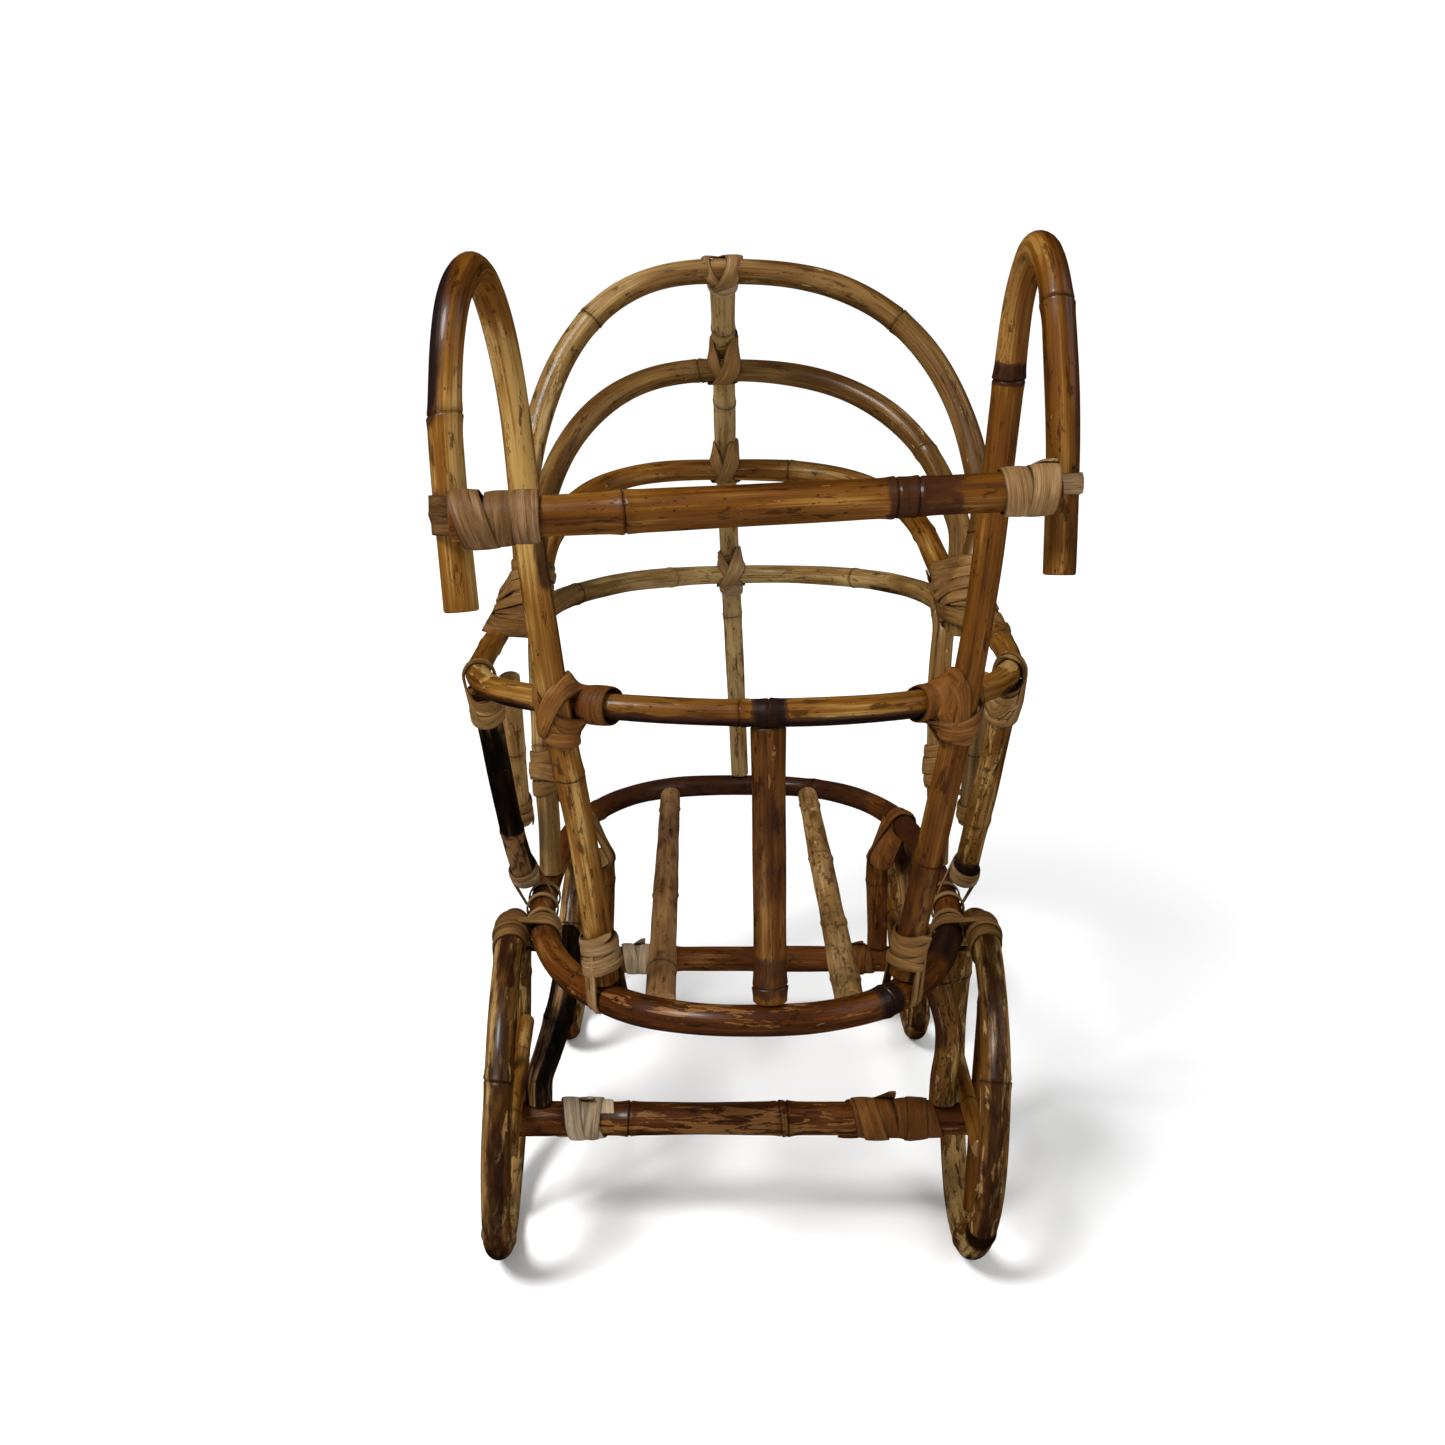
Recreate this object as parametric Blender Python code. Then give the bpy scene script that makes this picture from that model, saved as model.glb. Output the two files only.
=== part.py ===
"""Doll stroller of bent rattan cane, tied with peel: seat hoop on four cane wheels, fan hood, crook handles.

The design is in millimetres and is scaled to metres when a mesh is made. X is to the right seen from the
handle, Y points from the handle towards the hood, Z is up. Y = 0 is first the rear wheels' centre line;
SHIFT then moves the whole to the middle of its own footprint.
"""
import math

import bmesh
import bpy
from mathutils import Matrix, Vector

MM = 0.001
GAP = 0.35
SHIFT = Vector((1.24, -46.9, 0.0))

# Canes, as radii
RING_R = 6.4
RAIL_R = 5.2
CROOK_R = 5.2
GRIP_R = 6.2
ARCH_R = 6.0
BACK_ARCH_R = 5.6
SPINE_R = 6.0
BRACE_R = 5.6
STAY_R = 4.8
RIM_R = 6.3
SPOKE_R = 4.0
AXLE_R = 7.7
STRUT_R = 6.2
SLAT_HALF_WIDTH = 6.2
PEEL = 1.6

# Seat hoop: widest at RING_MIDDLE, rounder at the handle end than at the hood end,
# and falling to the hood end
RING_HALF_WIDTH = 100.0
RING_MIDDLE = 93.0
RING_HALF_LENGTH = 194.0
RING_Z = 153.0
RING_DROP = 5.0
RING_NEAR_POWER = 2.45
RING_FAR_POWER = 2.8

# Wheels: the rear ones stand beside the hoop, the smaller front ones under it
REAR_WHEEL_R = 80.0
FRONT_WHEEL_R = 67.0
FRONT_WHEEL_Y = 235.0
TREAD_FLAT = 0.5
SPOKE_OFFSET = 4.3
SPOKE_SHY = 6.8
AXLE_AHEAD = 12.4
AXLE_BELOW = 13.6
# name: (hub x, hub y, radius, lean of the top towards +X in degrees, turn about Z in degrees)
WHEELS = {
    "rear_left": (-111.5, 0.0, REAR_WHEEL_R, 2.9, 4.2),
    "rear_right": (106.2, 0.0, REAR_WHEEL_R, 1.8, -2.6),
    "front_left": (-103.0, FRONT_WHEEL_Y, FRONT_WHEEL_R, 4.0, 0.0),
    "front_right": (104.0, FRONT_WHEEL_Y, FRONT_WHEEL_R, -5.0, 0.0),
}

# Hood: each arch stands in the bundle on the arm rail's end, then leans further back than the one before
ARCH_FOOT_Z = 283.0
ARCH_SPRING_Z = 304.0
ARCH_FOOT_X = 102.4
ARCH_FOOT_Y = (48.2, 61.2, 75.2)
ARCH_APEX = ((-11.0, 100.0, 453.0), (-11.0, 155.0, 408.0), (-10.0, 214.0, 354.0))
# How far each arch reaches to the left and to the right of its apex, and how square its shoulders are
ARCH_REACH = ((95.0, 125.0), (92.0, 118.0), (92.0, 107.0))
ARCH_POWER = (2.6, 2.5, 3.0)

# Sides of a cane's section, and of the thicker straight canes'
CANE_SIDES = 8
BAR_SIDES = 10

# Distance between a curve's points before they are spaced evenly, and between the points kept
DRAWN_STEP = 6
BEND_STEP = 13.5
RING_STEP = 24
RIM_POINTS = 32

# Faces of a cane that meet at less than this many degrees are shaded smooth
SMOOTH_BELOW = 50


def spline(points, step):
    """A smooth Catmull-Rom curve through the points, with a point about every step."""
    points = [Vector(p) for p in points]
    count = len(points)
    route = []
    for i in range(count - 1):
        start, end = points[i], points[i + 1]
        before = points[i - 1] if i else start * 2 - end
        after = points[i + 2] if i + 2 < count else end * 2 - start
        pieces = max(1, round((end - start).length / step))
        for k in range(pieces):
            t = k / pieces
            route.append(
                0.5 * (2 * start + (end - before) * t + (2 * before - 5 * start + 4 * end - after) * t**2
                       + (3 * start - before - 3 * end + after) * t**3)
            )
    route.append(points[-1])
    return route


def point_on(route, fraction):
    """The point at this fraction of the route's length."""
    lengths = [(b - a).length for a, b in zip(route, route[1:])]
    left = fraction * sum(lengths)
    for a, b, length in zip(route, route[1:], lengths):
        if left <= length:
            return a.lerp(b, left / length)
        left -= length
    return route[-1].copy()


def evenly(route, step, closed=False):
    """The same curve with its points about a step apart."""
    if closed:
        route = [*route, route[0]]
    total = sum((b - a).length for a, b in zip(route, route[1:]))
    count = max(2, round(total / step))
    points = [point_on(route, k / count) for k in range(count + 1)]
    return points[:-1] if closed else points


def bent(points):
    """The route of a cane bent through the points."""
    return evenly(spline(points, DRAWN_STEP), BEND_STEP)


def superellipse(angle, power):
    c, s = math.cos(angle), math.sin(angle)
    return (math.copysign(abs(c) ** (2 / power), c), math.copysign(abs(s) ** (2 / power), s))


def round_section(sides):
    """A cane's section, as pairs along the route's side and across it, for a radius of 1."""
    return [(math.cos(2 * math.pi * k / sides), math.sin(2 * math.pi * k / sides)) for k in range(sides)]


def split_section(thickness, sides=6):
    """Half a split cane: flat behind, round in front, as wide as a cane of radius 1."""
    angles = [math.pi * (k / sides - 0.5) for k in range(sides + 1)]
    return [(thickness * math.cos(a), math.sin(a)) for a in angles]


def tube(route, radius, section, closed=False):
    """A bmesh with this section along the route and flat cut ends, carried along without twist."""
    bm = bmesh.new()
    count = len(route)
    tangents = []
    for i, point in enumerate(route):
        ahead = route[(i + 1) % count] if closed or i + 1 < count else point
        behind = route[i - 1] if closed or i else point
        tangents.append((ahead - behind).normalized())
    up = Vector((0, 0, 1)) if abs(tangents[0].z) < 0.8 else Vector((0, 1, 0))
    side = up
    rings = []
    for point, tangent in zip(route, tangents):
        side = (side - tangent * side.dot(tangent)).normalized()
        other = tangent.cross(side)
        rings.append([bm.verts.new(point + radius * (a * side + b * other)) for a, b in section])
    pairs = list(zip(rings, rings[1:]))
    if closed:
        pairs.append((rings[-1], rings[0]))
    for first, second in pairs:
        for k in range(len(section)):
            m = (k + 1) % len(section)
            bm.faces.new((first[k], first[m], second[m], second[k]))
    if not closed:
        bm.faces.new(list(reversed(rings[0])))
        bm.faces.new(rings[-1])
    bmesh.ops.recalc_face_normals(bm, faces=bm.faces)
    return bm


def cane_material(name, colour, roughness):
    material = bpy.data.materials.new(name)
    material.use_nodes = True
    shader = material.node_tree.nodes["Principled BSDF"]
    shader.inputs["Base Color"].default_value = (*colour, 1.0)
    shader.inputs["Roughness"].default_value = roughness
    shader.inputs["Metallic"].default_value = 0.0
    return material


def add_piece(name, bm, material):
    """Writes the bmesh, in millimetres, to a named object in metres."""
    mesh = bpy.data.meshes.new(name)
    bmesh.ops.transform(bm, matrix=Matrix.Scale(MM, 4) @ Matrix.Translation(SHIFT), verts=bm.verts)
    bm.to_mesh(mesh)
    bm.free()
    mesh.shade_smooth()
    mesh.set_sharp_from_angle(angle=math.radians(SMOOTH_BELOW))
    piece = bpy.data.objects.new(name, mesh)
    bpy.context.scene.collection.objects.link(piece)
    if material:
        mesh.materials.append(material)
    return piece


def add_cane(name, route, radius, material, closed=False, sides=CANE_SIDES, section=None):
    """A cane along the route, kept in CANES so that a lashing can be cut round it."""
    section = section or round_section(sides)
    CANES[name] = (route, radius, section, closed)
    return add_piece(name, tube(route, radius, section, closed), material)


def cut_round(piece, cane):
    """Takes the cane and the clearance round it out of the piece."""
    route, radius, section, closed = CANES[cane]
    cutter = add_piece(f"cutter_{piece.name}_{cane}", tube(route, radius + GAP, section, closed), None)
    cutter.hide_render = True
    cutter.display_type = "WIRE"
    cut = piece.modifiers.new(cane, "BOOLEAN")
    cut.operation = "DIFFERENCE"
    cut.object = cutter


def add_wrap(name, centre, axis, half_length, facing, depth, width, canes, material, sides=12):
    """A lashing as a rounded drum along axis, depth by width across it, cut out round the canes it ties."""
    centre, axis, facing = Vector(centre), Vector(axis).normalized(), Vector(facing)
    facing = (facing - axis * facing.dot(axis)).normalized()
    other = axis.cross(facing)
    bm = bmesh.new()
    for along, swell in ((-1, 0.9), (-0.7, 1), (0.7, 1), (1, 0.9)):
        for k in range(sides):
            a, b = superellipse(2 * math.pi * (k + 0.5) / sides, 3)
            across = depth * a * facing + width * b * other
            bm.verts.new(centre + axis * (half_length * along) + across * swell)
    bmesh.ops.convex_hull(bm, input=bm.verts)
    bmesh.ops.recalc_face_normals(bm, faces=bm.faces)
    wrap = add_piece(name, bm, material)
    for cane in canes:
        cut_round(wrap, cane)


def add_sleeve(name, cane, start, end, material):
    """Peel wound round one cane between two fractions of its length."""
    route, radius, section, _ = CANES[cane]
    run = [point_on(route, start + (end - start) * k / 3) for k in range(4)]
    sleeve = add_piece(name, tube(run, radius + GAP + PEEL, section), material)
    cut_round(sleeve, cane)


def ring_z(y):
    return RING_Z - RING_DROP * (y - RING_MIDDLE + RING_HALF_LENGTH) / (2 * RING_HALF_LENGTH)


def ring_route():
    """The seat hoop's centre line, anticlockwise from its right side."""
    route = []
    for k in range(72):
        angle = 2 * math.pi * k / 72
        power = RING_FAR_POWER if math.sin(angle) > 0 else RING_NEAR_POWER
        across, along = superellipse(angle, power)
        y = RING_MIDDLE + RING_HALF_LENGTH * along
        route.append(Vector((RING_HALF_WIDTH * across, y, ring_z(y))))
    return evenly(route, RING_STEP, closed=True)


def ring_side(y, side):
    """The point of the hoop's left (-1) or right (1) side at this y."""
    along = (y - RING_MIDDLE) / RING_HALF_LENGTH
    power = RING_FAR_POWER if along > 0 else RING_NEAR_POWER
    across = (1 - abs(along) ** power) ** (1 / power)
    return Vector((side * RING_HALF_WIDTH * across, y, ring_z(y)))


def arch_route(foot_y, apex, reach, power):
    """A hood arch: a straight foot in each bundle, then a fan rib through its apex."""
    apex = Vector(apex)
    rib = []
    for k in range(1, 40):
        across, rise = superellipse(math.pi * (1 - k / 40), power)
        x = apex.x + across * reach[across > 0]
        y = foot_y + (apex.y - foot_y) * rise
        rib.append(Vector((x, y, ARCH_SPRING_Z + (apex.z - ARCH_SPRING_Z) * rise)))
    feet = []
    for side in (-1, 1):
        feet.append([Vector((side * ARCH_FOOT_X, foot_y, z)) for z in (ARCH_FOOT_Z, ARCH_SPRING_Z - 8)])
    return bent([*feet[0], *evenly(rib, BEND_STEP)[1:-1], *reversed(feet[1])])


def wheel_place(name):
    """The matrix from a wheel's own frame, its rim in the YZ plane, to where the wheel stands."""
    x, y, radius, lean, turn = WHEELS[name]
    hub_z = (radius - RIM_R) * math.cos(math.radians(lean)) + RIM_R - TREAD_FLAT
    turned = Matrix.Rotation(math.radians(turn), 4, "Z") @ Matrix.Rotation(math.radians(lean), 4, "Y")
    return Matrix.Translation((x, y, hub_z)) @ turned


def add_wheel(name, material, spoke_material):
    """A bent rim, flat where it stands, with an upright spoke outside it and a level one inside it."""
    radius = WHEELS[name][2] - RIM_R
    outward = math.copysign(1, WHEELS[name][0])
    place = wheel_place(name)
    route = []
    for k in range(RIM_POINTS):
        angle = 2 * math.pi * k / RIM_POINTS - math.pi / 2
        route.append(place @ Vector((0, radius * math.cos(angle), radius * math.sin(angle))))
    rim_name = f"wheel_rim_{name}"
    CANES[rim_name] = (route, RIM_R, round_section(CANE_SIDES), True)
    bm = tube(route, RIM_R, round_section(CANE_SIDES), closed=True)
    everything = [*bm.verts, *bm.edges, *bm.faces]
    floor = {"plane_co": (0, 0, 0), "plane_no": (0, 0, -1)}
    cut = bmesh.ops.bisect_plane(bm, geom=everything, clear_outer=True, **floor)
    rim_edges = [e for e in cut["geom_cut"] if isinstance(e, bmesh.types.BMEdge)]
    bmesh.ops.holes_fill(bm, edges=rim_edges)
    bmesh.ops.recalc_face_normals(bm, faces=bm.faces)
    add_piece(rim_name, bm, material)
    half = radius - SPOKE_SHY
    for spoke, offset, direction in (
        ("upright", SPOKE_OFFSET * outward, Vector((0, 0, 1))),
        ("level", -SPOKE_OFFSET * outward, Vector((0, 1, 0))),
    ):
        ends = [place @ (Vector((offset, 0, 0)) + direction * half * t) for t in (-1, 0, 1)]
        add_cane(f"wheel_spoke_{spoke}_{name}", ends, SPOKE_R, spoke_material)


def add_axle(end, y, hub_z, half_left, half_right, material):
    route = [Vector((-half_left, y - AXLE_AHEAD, hub_z - AXLE_BELOW)),
             Vector((half_right, y - AXLE_AHEAD, hub_z - AXLE_BELOW))]
    add_cane(f"axle_{end}", evenly(route, 70), AXLE_R, material, sides=BAR_SIDES)


for obj in list(bpy.data.objects):
    bpy.data.objects.remove(obj, do_unlink=True)

CANES = {}
golden = cane_material("golden_cane", (0.42, 0.25, 0.09), 0.35)
scorched = cane_material("scorched_cane", (0.12, 0.06, 0.03), 0.4)
split = cane_material("split_cane", (0.34, 0.19, 0.09), 0.5)
peel = cane_material("peel", (0.5, 0.33, 0.16), 0.6)

# Seat
add_cane("base_ring", ring_route(), RING_R, scorched, closed=True)
for side, near_x, far_x in (("left", -36.0, -44.5), ("right", 41.0, 43.0)):
    ends = []
    for x, y in ((near_x, -79.5), (far_x, 264.5)):
        ends.append(Vector((x, y, ring_z(y) - 1.0)))
    add_cane(f"seat_slat_{side}", evenly(ends, 90), SLAT_HALF_WIDTH, split, section=split_section(0.85))
add_cane(
    "upright_slat",
    evenly([Vector((8.0, -99.0, 160.2)), Vector((6.5, -101.0, 270.8))], 60),
    6.7, split, section=split_section(-0.7),
)

# Arm rail, open at the hood end
add_cane(
    "arm_rail",
    bent([(-114.3, 86, 298), (-114.3, 45, 288), (-116.5, 5, 280), (-112.5, -35, 278), (-96, -70, 278),
          (-57, -97, 278), (-3, -103, 276.5), (48, -99, 277.5), (85, -79, 279), (106, -45, 280),
          (115.5, 0, 281), (114.3, 45, 290), (114.3, 86, 300)]),
    RAIL_R, golden,
)

# Hood
for k in range(3):
    route = arch_route(ARCH_FOOT_Y[k], ARCH_APEX[k], ARCH_REACH[k], ARCH_POWER[k])
    add_cane(f"hood_arch_{k + 1}", route, ARCH_R, golden)
add_cane(
    "back_arch",
    bent([(-97.8, 69, 158.5), (-97.8, 69, 184), (-100.2, 73, 218), (-102, 83, 254), (-103, 96, 280),
          (-97, 118, 290), (-71, 190, 291), (-40, 234, 290), (-10, 248, 290), (34, 240, 291),
          (76, 200, 292), (97, 124, 293), (101.5, 103, 284), (99.3, 94, 254), (99, 89, 212),
          (99.8, 85, 180), (99.8, 85, 158.5)]),
    BACK_ARCH_R, golden,
)
add_cane(
    "hood_spine",
    bent([(-11, 113, 455), (-11, 122, 448.5), (-10.5, 163.5, 418.5), (-10, 195, 391.5), (-9.5, 224, 363.5),
          (-8, 246, 328), (-6.5, 260.5, 293), (-3, 277, 222), (0, 287, 155.5)]),
    SPINE_R, golden,
)

# Handle: two crooks standing on the hoop, and the bar across them
add_cane(
    "handle_crook_left",
    bent([(-58.5, -78, 160.5), (-65, -89, 222), (-73.2, -101.4, 279), (-80, -105, 336), (-84, -110, 388),
          (-88, -122, 419), (-90.3, -150, 430.5), (-92.5, -177, 417), (-94, -186, 387), (-93, -188, 360),
          (-90.5, -190, 326)]),
    CROOK_R, golden,
)
add_cane(
    "handle_crook_right",
    bent([(63, -72, 160.5), (72, -85, 222), (80, -96.4, 279), (85, -101, 321), (87.5, -104, 355),
          (90, -108, 396), (90.5, -119, 424), (91, -144, 438), (92, -167, 424), (94, -175, 390),
          (95, -176, 365), (95, -178, 336)]),
    CROOK_R, scorched,
)
add_cane("grip_bar", evenly([Vector((-91, -200.2, 354.3)), Vector((91, -188.8, 363.1))], 50), GRIP_R,
         golden, sides=BAR_SIDES)

# Sides: a brace and a thinner stay behind it under each arm
for side, sign, tone, brace_x, top_z in (
    ("left", -1, scorched, 110.5, 266), ("right", 1, golden, 108.6, 269),
):
    add_cane(
        f"side_brace_{side}",
        bent([(sign * brace_x, -32, top_z), (sign * brace_x, 0, 226), (sign * (brace_x - 1), 25, 192),
              (sign * 106.7, 44, 164)]),
        BRACE_R, tone,
    )
    add_cane(
        f"arm_stay_{side}",
        evenly([Vector((sign * 108.5, 22, 268)), Vector((sign * 109, 52, 190))], 45),
        STAY_R, golden,
    )

# Running gear
for name in WHEELS:
    add_wheel(name, golden, golden)
rear_hub = wheel_place("rear_left").translation.z
front_hub = wheel_place("front_left").translation.z
add_axle("rear", 0.0, rear_hub, 110, 105, split)
add_axle("front", FRONT_WHEEL_Y, front_hub, 102, 102, split)
rear_foot = rear_hub - AXLE_BELOW + AXLE_R + GAP
front_foot = front_hub - AXLE_BELOW + AXLE_R + GAP
for side, sign, foot_x, top_x, tone in (("left", -1, 95.8, 83, scorched), ("right", 1, 90.8, 88, golden)):
    add_cane(
        f"strut_rear_{side}",
        bent([(sign * foot_x, -12, rear_foot), (sign * foot_x, -12, rear_foot + 10),
              (sign * (top_x + 5), -12, 108), (sign * top_x, -6, 129),
              (sign * (top_x + 1), 12, 137.5), (sign * (top_x + 3), 36, 137)]),
        STRUT_R, tone,
    )
    add_cane(
        f"strut_front_{side}",
        bent([(sign * 85, 222.6, front_foot), (sign * 85, 222.6, front_foot + 10), (sign * 84, 222, 98),
              (sign * 83, 213, 120), (sign * 83.5, 188, 129)]),
        STRUT_R, scorched,
    )

# Lashings of peel
add_wrap("grip_lashing_left", (-82, -194, 355), (1, 0.06, 0.05), 17, (0, 1, 0), 13.8, 8.8,
         ("grip_bar", "handle_crook_left"), peel)
add_wrap("grip_lashing_right", (84, -183, 362.5), (1, 0.06, 0.05), 17, (0, 1, 0), 13.8, 8.8,
         ("grip_bar", "handle_crook_right"), peel)
for side, centre, along in (
    ("left", (-70.5, -96, 278.5), (0.82, -0.57, 0)),
    ("right", (77.5, -91.5, 278.5), (0.88, 0.48, 0)),
):
    crook = f"handle_crook_{side}"
    add_wrap(f"rail_lashing_{side}", centre, along, 12, (-along[1], along[0], 0), 12.8, 8.5,
             ("arm_rail", crook), peel)
    route = CANES[crook][0]
    add_wrap(f"crook_lashing_{side}", point_on(route, 0.02), route[2] - route[0], 16, (0, 1, 0), 8.4, 8.4,
             ("base_ring", crook), peel)
for side, sign, rise in (("left", -1, 0), ("right", 1, 2)):
    add_wrap(f"hood_lashing_{side}", (sign * 108.2, 61.5, 297.5 + rise), (0, 0, 1), 18, (0, 1, 0), 22, 14,
             ("arm_rail", "hood_arch_1", "hood_arch_2", "hood_arch_3"), peel)
    add_wrap(f"brace_lashing_{side}", (sign * 110.5, -34, 268.5 + rise), (0, -0.55, 0.83), 17,
             (1, 0, 0), 8.6, 7.8, ("arm_rail", f"side_brace_{side}"), peel)
    add_wrap(f"brace_cuff_{side}", (sign * 103.2, 45, 158.6), (0, 1, 0), 7.0, (sign * 6.5, 0, 13), 14.4, 8.4,
             ("base_ring", f"side_brace_{side}"), peel)
    add_wrap(f"strut_lashing_{side}", (sign * 88, 194, 139.5), (-sign * 0.3, 1, 0), 8.5,
             (sign * 11, 0, 20), 19, 9, ("base_ring", f"strut_front_{side}"), peel)
    wheel = f"rear_{side}"
    rim_top = wheel_place(wheel) @ Vector((0, 0, REAR_WHEEL_R - RIM_R))
    hoop = ring_side(0.0, sign)
    add_wrap(f"rim_lashing_{side}", (rim_top + hoop) / 2, (0, 1, 0), 9.5, rim_top - hoop, 15.4, 8.6,
             ("base_ring", f"wheel_rim_{wheel}", f"wheel_spoke_upright_{wheel}"), peel)
spine_line = evenly(CANES["hood_spine"][0], 1)
for place, rib in enumerate(("hood_arch_1", "hood_arch_2", "hood_arch_3", "back_arch"), 1):
    rib_line = evenly(CANES[rib][0], 1)
    pairs = ((p, q) for p in rib_line for q in spine_line)
    on_rib, on_spine = min(pairs, key=lambda pair: (pair[0] - pair[1]).length)
    add_wrap(f"spine_lashing_{place}", (on_rib + on_spine) / 2, (1, 0, 0), 9.6, on_spine - on_rib, 14, 8.6,
             (rib, "hood_spine"), peel)
for axle, side, start, end in (
    ("rear", "left", 0.105, 0.2), ("rear", "right", 0.71, 0.9), ("front", "left", 0.12, 0.23),
    ("front", "right", 0.77, 0.88),
):
    add_sleeve(f"hub_lashing_{axle}_{side}", f"axle_{axle}", start, end, peel)
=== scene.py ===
"""Looks of the doll stroller: bent cane with growth rings, scorch marks and cut ends, tied with wound peel.

The canes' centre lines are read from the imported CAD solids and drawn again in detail. Each lashing is wound
from flat peel round the canes it ties. Lengths are in millimetres until a mesh is made.
"""
import math
import random

import bmesh
import bpy
import numpy as np
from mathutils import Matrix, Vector


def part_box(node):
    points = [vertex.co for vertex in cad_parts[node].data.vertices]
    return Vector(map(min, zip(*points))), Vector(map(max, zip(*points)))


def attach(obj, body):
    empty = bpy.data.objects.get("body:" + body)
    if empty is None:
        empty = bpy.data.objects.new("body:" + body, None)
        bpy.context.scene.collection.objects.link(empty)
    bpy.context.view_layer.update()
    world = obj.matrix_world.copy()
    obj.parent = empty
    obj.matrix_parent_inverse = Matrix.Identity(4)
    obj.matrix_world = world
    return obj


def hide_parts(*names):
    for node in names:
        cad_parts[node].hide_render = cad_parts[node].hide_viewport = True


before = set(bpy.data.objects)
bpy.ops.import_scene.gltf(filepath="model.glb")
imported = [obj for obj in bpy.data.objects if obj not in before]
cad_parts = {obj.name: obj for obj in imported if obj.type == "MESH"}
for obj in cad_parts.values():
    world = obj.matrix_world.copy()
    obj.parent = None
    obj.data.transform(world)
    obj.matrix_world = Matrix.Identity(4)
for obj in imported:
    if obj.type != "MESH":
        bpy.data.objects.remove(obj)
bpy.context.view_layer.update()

MM = 0.001
LEFT, RIGHT, UP, DOWN, NEAR = (-1, 0, 0), (1, 0, 0), (0, 0, 1), (0, 0, -1), (0, -1, 0)
SIDES = (("left", -1), ("right", 1))

# Reading the solids, in metres: points this near are one, and a cane's cut end is a flat face this small
WELD = 1e-6
FLAT_ANGLE = 0.002
END_REACH = 0.0095

# Canes: the spacing of their rings of points, the points in a ring, and how rounded a cut end is
RING_STEP = 2.2
CANE_SIDES = 22
END_ROUND = 0.45
# The least spacing of its rings, and the gap left free of them before a cut end
CLOSEST_RINGS = 0.2
END_GAP = 0.9
# Distances from a growth ring at which the cane has extra rings of points
NEAR_JOINT = (0.0, 0.35, 0.7, 1.1, 1.6, 2.3, 3.2, 4.4)
# A growth ring's shares of the radius: the broad swelling, the raised lip on one side and the groove
RING_SWELL, RING_LIP, RING_GROOVE = 0.05, 0.055, 0.075
# The distance from a growth ring on a cane that has none
NO_JOINT = 60.0
# The way that a mark faces on the outside of a hoop
TREAD = "tread"
RIM_POINTS = 180
# A wheel rim's lower side towards the photo's camera, as a share of its length
NEAR_LOW = 0.597

# Peel: its thickness, the points across it, and the points along a turn
PEEL_THICK = 0.9
PEEL_ACROSS = (-1.0, -0.86, -0.45, 0.0, 0.45, 0.86, 1.0)
STEPS_PER_TURN = 44
# The outline that peel is wound on: its spacing along the axis, the thickness of cane that it is taken
# from, the directions it is taken in, and the points it is then resampled to
OUTLINE_STEP = 0.8
OUTLINE_SLAB = 1.5
DIRECTIONS = 72
OUTLINE_POINTS = 97
# How far past a strip's edges its outline goes, how far past that the canes are read, and a gap under peel
OUTLINE_MARGIN = 1.5
READ_MARGIN = 6
PEEL_GAP = 0.05
# Steps along the loose end of a strip
TAIL_STEPS = 7

# The studio, in metres: the floor's half width, the dome's radius and the point that the lamps light
FLOOR_HALF = 12.0
DOME_RADIUS = 11.5
LIT_POINT = (0, 0, 0.2)
WHITE = (1.0, 1.0, 1.0, 1.0)
# The photo's camera: its place in mm, its tilt up from straight down in degrees, its lens and its shift
CAMERA_PLACE = (-8.56, -678.9, 385.2)
CAMERA_TILT = 78.0
CAMERA_LENS = 36.12
CAMERA_SHIFT = -0.0016

# Points on each drawn cane's skin, by its node's name
CANES = {}


# ---- reading the frame


def welded(node):
    bm = bmesh.new()
    bm.from_mesh(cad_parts[node].data)
    bmesh.ops.remove_doubles(bm, verts=bm.verts, dist=WELD)
    return bm


def cut_ends(bm):
    """The corners of the two small faces with the most corners, which are a cane's cut ends."""
    flat = bm.copy()
    bmesh.ops.dissolve_limit(flat, angle_limit=FLAT_ANGLE, verts=flat.verts, edges=flat.edges)
    small = [face for face in flat.faces
             if max((v.co - face.calc_center_median()).length for v in face.verts) < END_REACH]
    ends = sorted(small, key=lambda face: -len(face.verts))[:2]
    corners = [[tuple(v.co) for v in face.verts] for face in ends]
    flat.free()
    return corners


def middle(points):
    return sum((Vector(p) for p in points), Vector()) / len(points)


def centre_line(node):
    """A cane's centre line, ring by ring from its lower or left cut end, and its radius."""
    bm = welded(node)
    start = min(cut_ends(bm), key=lambda corners: (round(middle(corners).z, 3), middle(corners).x))
    level = [v for v in bm.verts if tuple(v.co) in start]
    seen = set(level)
    line = []
    while level:
        line.append(middle([v.co for v in level]) / MM)
        level = sorted({e.other_vert(v) for v in level for e in v.link_edges} - seen, key=lambda v: v.index)
        seen |= set(level)
    radius = (Vector(start[0]) / MM - line[0]).length
    bm.free()
    return line, radius


def hoop_line(node, corners=8):
    """A closed hoop's centre line, anticlockwise from its left side: its rings of corners in order."""
    bm = welded(node)
    points = [v.co / MM for v in bm.verts]
    bm.free()
    centre = middle(points)
    points.sort(key=lambda p: math.atan2(p.y - centre.y, p.x - centre.x))
    angles = [math.atan2(p.y - centre.y, p.x - centre.x) for p in points]
    gaps = [(angles[i] - angles[i - 1]) % math.tau for i in range(len(points))]
    first = max(range(corners), key=lambda i: gaps[i])
    points = points[first:] + points[:first]
    rings = [points[i:i + corners] for i in range(0, len(points), corners)]
    line = [middle(ring) for ring in rings]
    return line, (rings[0][0] - line[0]).length


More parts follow.
